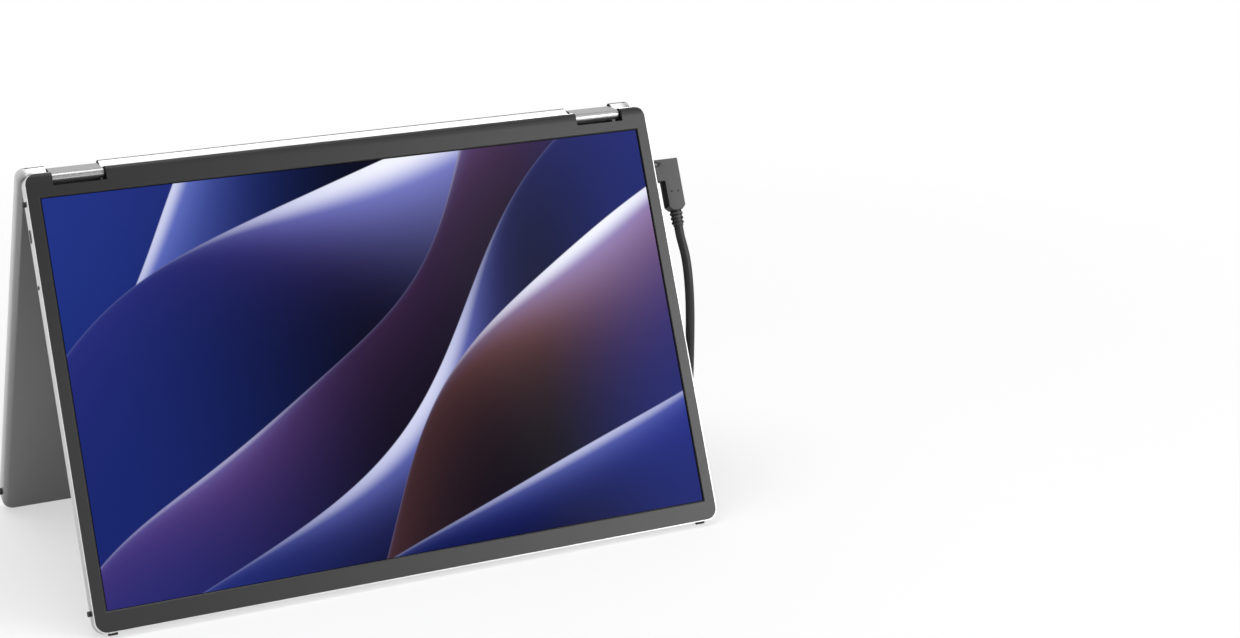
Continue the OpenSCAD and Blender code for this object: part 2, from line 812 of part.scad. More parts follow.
module board_shield() color(steel) in_front() {
    inner_l = shield_l - 2 * shield_sheet;
    inner_w = shield_w - 2 * shield_sheet;
    translate([shield_x0, board_y1 - shield_w - 1, board_top_z]) difference() {
        cube([shield_l, shield_w, shield_h]);
        translate([shield_sheet, shield_sheet, -shield_sheet]) cube([inner_l, inner_w, shield_h]);
    }
}

// Metal shell of the socket with its tongue, closed at the back
module usb_c_socket() color(steel) in_front() {
    translate([socket_face_x - socket_l, -socket_y, socket_z]) rotate([0, 90, 0]) rotate([0, 0, 90]) {
        difference() {
            linear_extrude(socket_l) stadium(socket_half_y, socket_half_z);
            translate([0, 0, socket_l - nose_l - 0.4]) {
                linear_extrude(socket_l) stadium(socket_half_y - socket_shell, socket_half_z - socket_shell);
            }
        }
        translate([-3.3, -0.35, 0]) cube([6.6, 0.7, socket_l - 0.8]);
    }
}

module control_board() color(board_green) in_front() {
    translate([control_board_x, control_board_y0, floor_z]) {
        cube([board_t, control_board_y1 - control_board_y0, control_z + control_half_h - floor_z]);
    }
    for (y = [-rocker_y - rocker_l / 3, -rocker_y + rocker_l / 3, -power_y]) {
        translate([control_board_x - 1.2, y - 0.8, control_z - 0.9]) cube([1.2, 1.6, 1.8]);
    }
}

module power_button() color(aluminium) in_front() {
    translate([wall_x - control_proud, -power_y, control_z]) rotate([0, 90, 0]) {
        cylinder(h = control_proud + cover_wall + flange_gap, r = power_r);
        translate([0, 0, control_proud + cover_wall + flange_gap]) cylinder(h = flange_t, r = power_r + flange_lap);
    }
}

module rocker_key() color(aluminium) in_front() {
    translate([wall_x - control_proud, -rocker_y, control_z]) rotate([0, 90, 0]) rotate([0, 0, 90]) {
        linear_extrude(control_proud + cover_wall + flange_gap) stadium(rocker_l / 2, rocker_w / 2);
        translate([0, 0, control_proud + cover_wall + flange_gap]) linear_extrude(flange_t) {
            stadium(rocker_l / 2 + flange_lap, rocker_w / 2 + flange_lap / 2);
        }
    }
    // The two pins on which the key rocks
    translate([rocker_pivot_x, -rocker_y, control_z]) {
        cylinder(h = rocker_w + flange_lap + 2 * pivot_pin_l, r = pivot_pin_r, center = true);
    }
}

// Hinge link: what turns with neither half

// Section round both axes, with round ends
module link_section(r) {
    stadium(axis_gap / 2 + r, r);
}

module hinge_cap(side) color(aluminium) in_link() at_hinge(side) difference() {
    along_x(0, cap_l) difference() {
        link_section(cap_r);
        for (m = [0, 1]) mirror([m, 0]) translate([axis_gap / 2, 0]) rotate(groove_angle) {
            translate([cap_r, 0]) rotate(45) square(groove_d * sqrt(2), center = true);
        }
    }
    along_x(-1, cap_l - end_wall + 1) link_section(cavity_r);
    for (y = [-1, 1]) translate([cap_l - end_wall - 1, y * axis_gap / 2, 0]) rotate([0, 90, 0]) {
        cylinder(h = end_wall + 2, r = coax_hole_r);
    }
}

module link_plates(side) color(steel) in_link() at_hinge(side) {
    for (s = [0, plate_2_s, plate_3_s]) along_x(s, link_plate_t) difference() {
        link_section(cavity_r);
        for (m = [-1, 1]) {
            translate([m * axis_gap / 2, 0]) circle(shaft_r + run_gap);
            translate([m * axis_gap / 6, 0]) circle(idler_journal_r + run_gap);
        }
    }
}

module friction_clip(side) color(steel) in_link() at_hinge(side) {
    along_x(clip_s, clip_l) difference() {
        union() {
            for (m = [-1, 1]) translate([m * axis_gap / 2, 0]) circle(cavity_r - 0.1);
            translate([-axis_gap / 2, -0.4]) square([axis_gap, 0.8]);
        }
        for (m = [-1, 1]) translate([m * axis_gap / 2, 0]) circle(shaft_r + run_gap);
    }
}

// Idler gear number 1 or 2 from the front, with its two journals
module idler(side, number) color(steel) in_link() at_hinge(side) {
    translate([0, (number - 1.5) * axis_gap / 3, 0]) {
        gear(number == 1 ? half_pitch : 0);
        translate([plate_2_s + 0.1, 0, 0]) rotate([0, 90, 0]) {
            cylinder(h = plate_3_s + link_plate_t - plate_2_s - 0.2, r = idler_journal_r);
        }
    }
}

// Coax bundle that enters and leaves the right cap along the two axes
module hinge_cable() color(cord_black) in_link() at_hinge(1) {
    out = cap_l + notch_end_gap + notch_wall + 0.6;
    for (m = [-1, 1]) translate([cable_bend_s, m * axis_gap / 2, 0]) rotate([0, 90, 0]) {
        cylinder(h = out - cable_bend_s, r = coax_r);
    }
    translate([cable_bend_s, 0, 0]) rotate([0, 0, 90]) rotate_extrude(angle = 180) {
        translate([axis_gap / 2, 0]) circle(coax_r);
    }
}

// Cable

module angled_plug() color(plug_grey) in_front() {
    translate([0, 0, socket_z - plug_t / 2]) linear_extrude(plug_t) polygon([
        [plug_x0, plug_y1 - 1], [plug_x0 + 1, plug_y1], [plug_x1, plug_y1],
        [plug_x1, plug_y0], [plug_x1 - plug_chamfer, plug_y0 - plug_chamfer],
        [plug_x0 + plug_step + plug_chamfer, plug_y0 - plug_chamfer], [plug_x0 + plug_step, plug_y0],
        [plug_x0 + plug_step, plug_y1 - 2 * plug_arm_half], [plug_x0, plug_y1 - 2 * plug_arm_half]
    ]);
}

module angled_plug_nose() color(steel) in_front() {
    translate([plug_x0 - nose_l, -socket_y, socket_z]) rotate([0, 90, 0]) rotate([0, 0, 90]) plug_nose();
}

// Open metal nose of a plug, its mouth at z = 0
module plug_nose() {
    wall = 0.3;
    linear_extrude(nose_l) difference() {
        stadium(nose_half_y, nose_half_z);
        stadium(nose_half_y - wall, nose_half_z - wall);
    }
    translate([0, 0, nose_l - 1]) linear_extrude(1) stadium(nose_half_y - wall, nose_half_z - wall);
}

module angled_plug_relief() color(plug_grey) in_front() {
    translate([plug_mid_x, plug_y0 - plug_chamfer, socket_z]) rotate([90, 0, 0]) relief();
}

// Ribbed strain relief, from the plug at z = 0 to the cord
module relief() {
    rib = relief_l / (2 * rib_count + 1);
    cylinder(h = relief_l, r1 = relief_neck_r, r2 = cord_r + 0.2);
    for (i = [0 : rib_count - 1]) translate([0, 0, (2 * i + 1) * rib]) cylinder(h = rib, r = relief_rib_r - 0.1 * i);
}

function unit(v) = v / norm(v);
function path_direction(p, i) = unit(p[min(i + 1, len(p) - 1)] - p[max(i - 1, 0)]);

// Tube of a number of sides along points; level gives the rings' side direction
module tube(p, r, sides, first, last) {
    n = len(p);
    rings = [
        for (i = [0 : n - 1])
            let (
                d = i == 0 ? first : i == n - 1 ? last : path_direction(p, i),
                a = unit(cross(d, abs(d[2]) > 0.9 ? [0, 1, 0] : [0, 0, 1])),
                a2 = abs(d[0]) < 0.2 && abs(d[2]) > 0.05 ? unit([1, 0, 0] - d * d[0]) : a,
                b = cross(d, a2)
            )
            [for (k = [0 : sides - 1]) let (t = (k + 0.5) * 360 / sides) p[i] + r * (cos(t) * a2 + sin(t) * b)]
    ];
    points = [for (ring = rings) for (q = ring) q];
    walls = [
        for (i = [0 : n - 2]) for (k = [0 : sides - 1])
            let (a = i * sides + k, b = i * sides + (k + 1) % sides, c = b + sides, d = a + sides)
            each [[a, d, b], [b, d, c]]
    ];
    start = [for (k = [1 : sides - 2]) [0, k, k + 1]];
    finish = [for (k = [1 : sides - 2]) [(n - 1) * sides, (n - 1) * sides + k + 1, (n - 1) * sides + k]];
    polyhedron(points, concat(walls, start, finish));
}

cord_start_dir = front_direction([0, -1, 0]);
coil_start = [coil_center[0] + coil_out_r, coil_center[1] - cord_d, coil_z];
cord_points = concat([cord_exit, cord_exit + cord_d * cord_start_dir], cord_route);

module cord() color(cord_black) tube(concat(cord_points, [coil_start]), cord_r, cord_sides, cord_start_dir, [0, 1, 0]);

// Height along the coil: the lower layer, a smooth climb at the reversal, the upper layer
function coil_height(t) =
    let (u = min(1, max(0, (t - (coil_turns - climb_turns) / 2) / climb_turns)))
    coil_z + coil_pitch * (1 - cos(180 * u)) / 2;
function coil_point(t) =
    let (r = coil_out_r - coil_pitch * min(t, coil_turns - t))
    [coil_center[0] + r * cos(360 * t), coil_center[1] + r * sin(360 * t), coil_height(t)];
coil_end_dir = [-sin(360 * coil_turns), cos(360 * coil_turns), 0];
coil_end = coil_point(coil_turns);
far_start = coil_end + (lead_out + lead_out_flat + cord_d) * coil_end_dir;
function lead_height(u) = coil_height(coil_turns) + (far_plug_z - coil_height(coil_turns)) * (1 - cos(180 * u)) / 2;
coil_points = concat(
    [coil_start],
    [for (i = [0 : coil_rings * coil_turns]) coil_point(i / coil_rings)],
    [for (i = [0 : lead_steps]) let (q = coil_end + (lead_out_flat + lead_out * i / lead_steps) * coil_end_dir)
        [q[0], q[1], lead_height(i / lead_steps)]],
    [[far_start[0], far_start[1], far_plug_z]]
);

// Least gap of the coil to itself, between points more than half a turn apart
coil_gap = min([
    for (i = [0 : len(coil_points) - 1]) for (j = [i + coil_rings / 2 : len(coil_points) - 1])
        if (j < len(coil_points)) norm(coil_points[i] - coil_points[j]) - cord_d
]);
echo(coil_gap = coil_gap);

module cord_coil() color(cord_black) tube(coil_points, cord_r, coil_sides, [0, 1, 0], coil_end_dir);

// Strap round the turns of the coil, across the tubes
module cord_tie() color(rubber_black) {
    r_low = coil_out_r - coil_pitch * coil_turns / 2 - cord_r - tie_gap - tie_slack;
    r_high = coil_out_r - coil_pitch * (tie_angle - 20) / 360 + cord_r + tie_gap;
    top = coil_z + coil_pitch + cord_r + tie_gap;
    translate([coil_center[0], coil_center[1], 0]) rotate([0, 0, tie_angle]) {
        translate([0, tie_w / 2, 0]) rotate([90, 0, 0]) linear_extrude(tie_w) difference() {
            round_rect(r_low - tie_t, r_high + tie_t, 0, top + tie_t, 2);
            round_rect(r_low, r_high, tie_t, top, 1.2);
        }
    }
}

module at_far_end() {
    translate([far_start[0], far_start[1], far_plug_z]) rotate([0, 0, 360 * coil_turns + 90]) children();
}

module far_plug_relief() color(plug_grey) at_far_end() {
    translate([relief_l, 0, 0]) rotate([0, -90, 0]) relief();
}

module far_plug() color(plug_grey) at_far_end() {
    translate([relief_l, 0, -far_plug_z]) linear_extrude(plug_t) polygon([
        [0, -far_plug_half_w + plug_chamfer], [plug_chamfer, -far_plug_half_w], [far_plug_l, -far_plug_half_w],
        [far_plug_l, far_plug_half_w], [plug_chamfer, far_plug_half_w], [0, far_plug_half_w - plug_chamfer]
    ]);
}

module far_plug_nose() color(steel) at_far_end() {
    translate([relief_l + far_plug_l + nose_l, 0, 0]) rotate([0, -90, 0]) rotate([0, 0, 90]) plug_nose();
}

// Nodes that are one call of a shared module

module front_bezel() in_front() bezel();
module front_panel() in_front() panel();
module front_gasket() in_front() gasket();
module front_plate() in_front() plate();
module front_bracket_left() in_front() bracket(-1);
module front_bracket_right() in_front() bracket(1);
module front_shaft_left() in_front() shaft(-1, front_phase);
module front_shaft_right() in_front() shaft(1, front_phase);
module front_screws() in_front() screws(concat(leaf_screws, mirror_x(leaf_screws), board_screws));
module front_edge_feet() in_front() edge_feet();
module front_side_feet() color(rubber_black) in_front() {
    upper_foot_body();
    lower_foot_body();
}

module front_driver_strip() in_front() driver_strip();
module front_panel_flexes() in_front() panel_flexes();
module front_display_cable() in_front() display_cable(board_y0);
module front_hinge_lead() in_front() hinge_lead(board_y1);

module rear_bezel() in_rear() bezel();
module rear_panel() in_rear() panel();
module rear_gasket() in_rear() gasket();
module rear_plate() in_rear() plate();
module rear_bracket_left() in_rear() bracket(-1);
module rear_bracket_right() in_rear() bracket(1);
module rear_shaft_left() in_rear() shaft(-1, rear_phase);
module rear_shaft_right() in_rear() shaft(1, rear_phase);
module rear_screws() in_rear() screws(concat(leaf_screws, mirror_x(leaf_screws), bridge_screws));
module rear_edge_feet() in_rear() edge_feet();
module rear_side_feet() color(rubber_black) in_rear() lower_foot_body();
module rear_driver_strip() in_rear() driver_strip();
module rear_panel_flexes() in_rear() panel_flexes();
module rear_display_cable() in_rear() display_cable(bridge_y0);
module rear_hinge_lead() in_rear() hinge_lead(board_y1);

module hinge_cap_left() hinge_cap(-1);
module hinge_cap_right() hinge_cap(1);
module link_plates_left() link_plates(-1);
module link_plates_right() link_plates(1);
module friction_clip_left() friction_clip(-1);
module friction_clip_right() friction_clip(1);
module front_idler_left() idler(-1, 1);
module front_idler_right() idler(1, 1);
module rear_idler_left() idler(-1, 2);
module rear_idler_right() idler(1, 2);

front_cover();
front_bezel();
front_panel();
front_gasket();
front_plate();
front_bracket_left();
front_bracket_right();
front_shaft_left();
front_shaft_right();
front_screws();
front_edge_feet();
front_side_feet();
front_driver_strip();
front_panel_flexes();
front_display_cable();
front_hinge_lead();
main_board();
board_shield();
usb_c_socket();
control_board();
power_button();
rocker_key();
rear_cover();
rear_bezel();
rear_panel();
rear_gasket();
rear_plate();
rear_bracket_left();
rear_bracket_right();
rear_shaft_left();
rear_shaft_right();
rear_screws();
rear_edge_feet();
rear_side_feet();
rear_driver_strip();
rear_panel_flexes();
rear_display_cable();
rear_hinge_lead();
bridge_board();
hinge_cap_left();
hinge_cap_right();
link_plates_left();
link_plates_right();
friction_clip_left();
friction_clip_right();
hinge_cable();
front_idler_left();
front_idler_right();
rear_idler_left();
rear_idler_right();
angled_plug();
angled_plug_nose();
angled_plug_relief();
cord();
cord_coil();
cord_tie();
far_plug();
far_plug_nose();
far_plug_relief();
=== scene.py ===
"""Dual-screen portable monitor, standing as a tent. Metres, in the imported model's own frame."""
import json
import bpy
import numpy as np
from mathutils import Matrix


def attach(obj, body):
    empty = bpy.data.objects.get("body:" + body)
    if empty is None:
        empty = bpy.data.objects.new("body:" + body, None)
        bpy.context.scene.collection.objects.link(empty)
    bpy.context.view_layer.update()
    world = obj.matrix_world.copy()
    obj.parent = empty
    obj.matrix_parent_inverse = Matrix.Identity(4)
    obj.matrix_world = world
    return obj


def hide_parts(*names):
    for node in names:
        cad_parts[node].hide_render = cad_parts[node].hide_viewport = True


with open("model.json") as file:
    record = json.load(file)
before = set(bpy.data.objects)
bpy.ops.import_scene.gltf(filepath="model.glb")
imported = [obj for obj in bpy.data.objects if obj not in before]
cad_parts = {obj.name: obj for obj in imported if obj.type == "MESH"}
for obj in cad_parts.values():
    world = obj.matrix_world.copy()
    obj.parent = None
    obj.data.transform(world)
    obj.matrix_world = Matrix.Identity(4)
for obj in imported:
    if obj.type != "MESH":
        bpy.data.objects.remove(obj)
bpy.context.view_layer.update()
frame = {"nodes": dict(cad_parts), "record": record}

nodes = frame["nodes"]
MM = 0.001
PER_METRE = 1000.0

# Camera: place in metres, and the photograph's size, focal length and lens axis row in pixels
CAMERA_PLACE = (-0.419727, -1.150419, 0.491071)
CAMERA_YAW, CAMERA_PITCH = np.radians(26.272), np.radians(16.178)
PHOTO_W, PHOTO_H, FOCAL_PIXELS, AXIS_ROW = 1240, 638, 2609.5, 250
SENSOR_W = 36

# Sizes of the part's source, in millimetres
LEAN = np.radians(23.5)
AXIS_GAP, AXIS_H, X_SHIFT = 8.9, 191.5231, 0.625
LIT_W, LIT_H, LIT_MID = 301.6, 188.4, -103.5
HALF_W, GLASS_W, FACE_W = 157.05, 3.7, 4.3
HINGE_X, CAP_R = 131.55, 2.35
NOTCH_HALF, NOTCH_FLOOR = 12.5, -4.1
PLUG_X0, PLUG_X1, PLUG_MID, PLUG_STEP = 157.55, 171.35, 166.85, 4.8
PLUG_Y0, PLUG_Y1, PLUG_ARM, PLUG_T, PLUG_Z = -49.9, -25.7, 11.0, 6.6, -1.0
PLUG_CHAMFER, PLUG_EDGE = 2, 0.35
FAR_L, FAR_HALF, FAR_NECK, FAR_EDGE = 20, 5.3, 3.3, 0.5
RELIEF_L, RELIEF_NECK, RELIEF_RIB = 8.0, 2.9, 3.3
CORD_D = 4.6
COIL_X, COIL_Y, COIL_R, TURNS, PITCH, COIL_Z = 137.0, 142.0, 33.0, 5.25, 5.1, 3.3
TIE_IN, TIE_OUT, TIE_TOP, TIE_T, TIE_W = 16.8125, 32.95, 10.9, 0.8, 9.0
TIE_CORNER, TIE_EDGE, TIE_ANGLE = 1.6, 0.3, np.radians(200)

# Edges of the lit picture as the photograph shows them, in millimetres from the panel's middle
LIT_LEFT, LIT_RIGHT, LIT_LOW, LIT_HIGH = -150.3, 150.4, -93.9, 93.9

# Bands in which a finish or a painted light or shade changes, in millimetres in a half's own frame
BACK_BAND = (0.02, 0.3)  # from the flat back, whose darker tone is partly painted shade, to the walls
EDGE_BAND = (-1.8, -1.2)  # start of the painted highlight along the hinge edge
EDGE_ENDS = (HALF_W - 9, HALF_W - 4)  # its fade towards the corners
RIM_BAND = (3.95, 4.1)  # start of the cut rim, lightened as a painted highlight
SHADE_BAND = (-120.0, -10.0)  # bezel's slow painted shade towards the hinge
ROLL_BAND = (-2.4, -0.4)  # bezel's roll over the hinge edge, darkened as painted shade
LIP_BAND = (-0.1, 0.6)  # rounded edge of the bezel's window
CAP_BAND = (CAP_R - 0.9, CAP_R - 0.2)  # from a cap's rolled sides to its flat top, which a painted shade darkens
NOTCH_SKIN, SKIN = 0.05, 0.1  # how far past a face its finish or the painted notch shadow reaches

# Marks on the angled plug: middle across and up, half width and half height. They lie beyond PLUG_FACE.
DIMPLE, PEARL = (159.2, -28.1, 2.3, 1.3), (158.6, -28.0, 1.0, 0.65)
LEFT_DOT, RIGHT_DOT = (164.9, -42.4, 0.55, 0.55), (168.6, -42.4, 0.55, 0.55)
PLUG_FACE = PLUG_Z + PLUG_T / 2 - 0.4

# New pieces: edges sharper than SHARP show as edges. The relief's rings have flanks of RELIEF_FLANK.
SHARP = np.radians(32)
RELIEF_ROWS, RELIEF_SIDES, RELIEF_FLANK = 113, 72, 0.12
# The coil is drawn through COIL_STEPS points a turn and climbs within CLIMB_TURNS. Its lead is LEAD_L long.
COIL_STEPS, CLIMB_TURNS = 24, 0.5
LEAD_START, LEAD_L, LEAD_STEPS = 4, 46, 8
CORD_STEP = 1.5
# From the first share of the cord, and over the second, the side of its rings turns from X to Z
SIDE_TURN, SIDE_TURN_OVER = 0.16, 0.04

# How far the grain shifts the roughness of metal and of plastic
METAL_GLOSS, PLASTIC_GLOSS = 0.1, 0.12

# Light: the even light, and the dim room that metal sees in front. The bands are the directions in which
# metal comes to see the white backdrop.
AMBIENT, ROOM = 0.5, 0.35
BEHIND_BAND, ABOVE_BAND, BELOW_BAND = (-0.3, 0.25), (0.6, 0.85), (0.0, 0.1)
WHITE, BLACK = (1.0, 1.0, 1.0), (0.0, 0.0, 0.0)

# Floor: how white it is of itself, for the eye and in metal, and its half width and fade in metres
FLOOR_WHITE, FLOOR_SHEEN = 0.55, 0.2
FLOOR_HALF, FLOOR_FADE = 12, (0.3, 0.85)


# Places

def in_front(u, v, w):
    """Front half's own frame to the world: x = u + shift, y = -gap / 2 + v sin(lean) - w cos(lean) and
    z = axis height + v cos(lean) + w sin(lean)."""
    u, v, w = np.broadcast_arrays(u, v, w)
    y = -AXIS_GAP / 2 + v * np.sin(LEAN) - w * np.cos(LEAN)
    z = AXIS_H + v * np.cos(LEAN) + w * np.sin(LEAN)
    return np.stack([u + X_SHIFT, y, z], -1) * MM


def at_far_plug(u, v, w):
    """Far plug's own frame to the world: x = u, y = v + the plug's middle line, z = w."""
    return np.stack(np.broadcast_arrays(u, v + (COIL_Y + COIL_R), w), -1) * MM


def unit(v):
    """v divided by its length, along the last axis."""
    return v / np.linalg.norm(v, axis=-1, keepdims=True)


def axes(right, up, out, place):
    """Matrix of an object at place whose X, Y and Z axes are right, up and out."""
    turn = np.eye(4)
    turn[:3, 0], turn[:3, 1], turn[:3, 2], turn[:3, 3] = right, up, out, place
    return Matrix(turn.tolist())


# Meshes

def grid_faces(rows, columns):
    """Quads (i, j), (i, j+1), (i+1, j+1), (i+1, j) of a grid whose last column joins its first."""
    i, j = np.meshgrid(np.arange(rows - 1), np.arange(columns), indexing="ij")
    row, below, after = i * columns, (i + 1) * columns, (j + 1) % columns
    return np.stack([row + j, row + after, below + after, below + j], -1).reshape(-1, 4)


def lengths_along(grid, axis):
    """Millimetres from the grid's start along one of its axes, averaged over the other."""
    first = grid[:1] if axis == 0 else grid[:, :1]
    steps = np.linalg.norm(np.diff(grid, axis=axis, prepend=first), axis=-1)
    return steps.mean(1 - axis).cumsum() / MM


def piece(name, grids, body, finish, replaced=(), ends=True, flip=False):
    """One mesh of closed bands. Each grid is rows x columns x 3 and wraps along its columns. It ends
    in two flat faces or, without ends, its last row joins its first. With flip its faces turn over.
    Its map holds millimetres along the band and round it."""
    points, faces, lengths = [], [], []
    for grid in grids:
        rows, columns = grid.shape[:2]
        start = sum(len(p) for p in points)
        quads = grid_faces(rows + (not ends), columns) % (rows * columns) + start
        faces += quads.tolist()
        if ends:
            faces += [list(range(start + columns - 1, start - 1, -1)),
                      list(range(start + (rows - 1) * columns, start + rows * columns))]
        both = np.meshgrid(lengths_along(grid, 0), lengths_along(grid, 1), indexing="ij")
        lengths.append(np.stack(both, -1).reshape(-1, 2))
        points.append(grid.reshape(-1, 3))
    points, lengths = np.concatenate(points), np.concatenate(lengths)
    if flip:
        faces = [face[::-1] for face in faces]
    mesh = bpy.data.meshes.new(name)
    mesh.from_pydata(points.tolist(), [], faces)
    mesh.polygons.foreach_set("use_smooth", np.ones(len(faces), bool))
    mesh.set_sharp_from_angle(angle=SHARP)
    corners = np.empty(len(mesh.loops), int)
    mesh.loops.foreach_get("vertex_index", corners)
    mesh.uv_layers.new(name="Surface").data.foreach_set("uv", lengths[corners].ravel())
    mesh.materials.append(finish)
    made = bpy.data.objects.new(name, mesh)
    bpy.context.scene.collection.objects.link(made)
    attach(made, body)
    if replaced:
        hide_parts(*replaced)
    return made


def rounded_outline(corners, radii, steps=8):
    """Polygon whose corners are arcs: each runs between the two points where its radius touches the
    sides."""
    corners = np.array(corners, float)
    to_next = unit(np.roll(corners, -1, 0) - corners)
    to_last = unit(np.roll(corners, 1, 0) - corners)
    half = np.arccos(np.clip((to_next * to_last).sum(1), -1, 1)) / 2
    radii = np.array(radii, float)
    centre = corners + unit(to_next + to_last) * (radii / np.sin(half))[:, None]
    turn = np.sign(to_last[:, 1] * to_next[:, 0] - to_last[:, 0] * to_next[:, 1])
    first = corners + to_last * (radii / np.tan(half))[:, None] - centre
    start = np.arctan2(first[:, 1], first[:, 0])
    share = np.linspace(0, 1, steps)
    angle = start[:, None] + turn[:, None] * (np.pi - 2 * half)[:, None] * share
    arcs = centre[:, None] + radii[:, None, None] * np.stack([np.cos(angle), np.sin(angle)], -1)
    return arcs.reshape(-1, 2)


def rounded_box(left, right, low, high, radius, steps):
    """Rectangle with four equal round corners."""
    return rounded_outline([(left, low), (right, low), (right, high), (left, high)], [radius] * 4, steps)


def rounded_slab(outline, thickness, edge, middle, place, steps=5):
    """Slab whose rim is a quarter round at both faces: the outline moves in by edge (1 - cos a) as w
    rises by edge sin a."""
    side = unit(np.roll(outline, -1, 0) - np.roll(outline, 1, 0))
    inward = np.stack([-side[:, 1], side[:, 0]], -1)
    a = np.linspace(0, np.pi / 2, steps)
    inset = edge * (1 - np.cos(a))
    rise = thickness / 2 - edge + edge * np.sin(a)
    inset, rise = np.concatenate([inset[::-1], inset]), np.concatenate([-rise[::-1], rise])
    flat = outline + inset[:, None, None] * inward
    return place(flat[..., 0], flat[..., 1], middle + rise[:, None])


def turned(radius, along, start, axis, side, sides):
    """Surface of revolution: start + along * axis + radius * (cos a * side + sin a * third), with a
    radius for each ring and angle."""
    a = np.arange(sides) * 2 * np.pi / sides
    axis, side = unit(np.array(axis, float)), unit(np.array(side, float))
    third = np.cross(axis, side)
    rim = np.cos(a)[:, None] * side + np.sin(a)[:, None] * third
    return np.array(start) + np.array(along)[:, None, None] * axis + radius[..., None] * rim


def tube(path, radius, first, last, sides=20):
    """Rings of one radius round a path that starts and ends along first and last. A ring's own side
    is a slow mix of X and Z, made square to the path."""
    step = np.gradient(path, axis=0)
    step[0], step[-1] = first, last
    ahead = unit(step)
    share = np.arange(len(path)) / len(path)
    share = np.clip((share - SIDE_TURN) / SIDE_TURN_OVER, 0, 1)[:, None]
    across = (1 - share) * np.array([1.0, 0, 0]) + share * np.array([0, 0, 1.0])
    across = unit(across - ahead * (across * ahead).sum(1, keepdims=True))
    up = np.cross(ahead, across)
    a = np.arange(sides) * 2 * np.pi / sides
    rim = np.cos(a)[:, None] * across[:, None] + np.sin(a)[:, None] * up[:, None]
    return path[:, None] + radius * rim


def through(points, spacing):
    """Natural cubic spline through the points against the length between them, at even steps."""
    gaps = np.linalg.norm(np.diff(points, axis=0), axis=1)
    at = np.concatenate([[0], gaps.cumsum()])
    n = len(points)
    system = np.eye(n)
    rest = np.zeros((n, 3))
    inner = np.arange(1, n - 1)
    system[inner, inner - 1], system[inner, inner] = gaps[:-1], 2 * (gaps[:-1] + gaps[1:])
    system[inner, inner + 1] = gaps[1:]
    slope = np.diff(points, axis=0) / gaps[:, None]
    rest[inner] = 6 * (slope[1:] - slope[:-1])
    bend = np.linalg.solve(system, rest)
    t = np.linspace(0, at[-1], int(at[-1] / spacing) + 1)
    k = np.clip(np.searchsorted(at, t, side="right") - 1, 0, n - 2)
    h, a, b = gaps[k][:, None], (at[k + 1] - t)[:, None], (t - at[k])[:, None]
    return (bend[k] * a ** 3 + bend[k + 1] * b ** 3) / (6 * h) \
        + (points[k] / h - bend[k] * h / 6) * a + (points[k + 1] / h - bend[k + 1] * h / 6) * b


# Camera

def set_camera(place, yaw, pitch, lens, shift_y):
    """Looks along (sin yaw cos pitch, cos yaw cos pitch, -sin pitch), level from left to right."""
    data = bpy.data.cameras.new("Camera")
    data.sensor_fit, data.sensor_width, data.lens, data.shift_y = "HORIZONTAL", SENSOR_W, lens, shift_y
    data.clip_start, data.clip_end = 0.05, 50
    ahead = np.array([np.sin(yaw) * np.cos(pitch), np.cos(yaw) * np.cos(pitch), -np.sin(pitch)])
    right = np.array([np.cos(yaw), -np.sin(yaw), 0])
    camera = bpy.data.objects.new("Camera", data)
    camera.matrix_world = axes(right, np.cross(right, ahead), -ahead, place)
    bpy.context.scene.collection.objects.link(camera)
    bpy.context.scene.camera = camera


set_camera(CAMERA_PLACE, CAMERA_YAW, CAMERA_PITCH, lens=FOCAL_PIXELS * SENSOR_W / PHOTO_W,
           shift_y=(AXIS_ROW - PHOTO_H / 2) / PHOTO_W)


# Finishes

class Wire:
    """A node socket that takes Python's arithmetic: each operator adds its Math node."""

    def __init__(self, graph, socket):
        self.graph, self.socket = graph, socket

    def math(self, operation, *values):
        """The Math node of that name on the values."""
        return self.graph.node("ShaderNodeMath", {"operation": operation}, dict(enumerate(values)))

    def __add__(self, other):
        return self.math("ADD", self, other)

    def __sub__(self, other):
        return self.math("SUBTRACT", self, other)

    def __rsub__(self, other):
        return self.math("SUBTRACT", other, self)

    def __mul__(self, other):
        return self.math("MULTIPLY", self, other)

    def __truediv__(self, other):
        return self.math("DIVIDE", self, other)

    def __pow__(self, other):
        return self.math("POWER", self, other)

    def __gt__(self, other):
        return self.math("GREATER_THAN", self, other)

    def __lt__(self, other):
        return self.math("LESS_THAN", self, other)

    def __abs__(self):
        return self.math("ABSOLUTE", self)

    __radd__, __rmul__ = __add__, __mul__

    def sin(self):
        """Sine of the value in radians."""
        return self.math("SINE", self)

    def larger(self, other):
        """The larger of the two values."""
        return self.math("MAXIMUM", self, other)

    def about(self, middle, swing):
        """middle + (value - 0.5) * swing."""
        return (self - 0.5) * swing + middle

    def fall(self, width):
        """exp(-value / width)."""
        return self.math("EXPONENT", self * (-1 / width))

    def rise(self, low, high):
        """Smooth step from 0 at low to 1 at high."""
        smooth = {"interpolation_type": "SMOOTHSTEP"}
        return self.graph.node("ShaderNodeMapRange", smooth, {0: self, 1: low, 2: high})


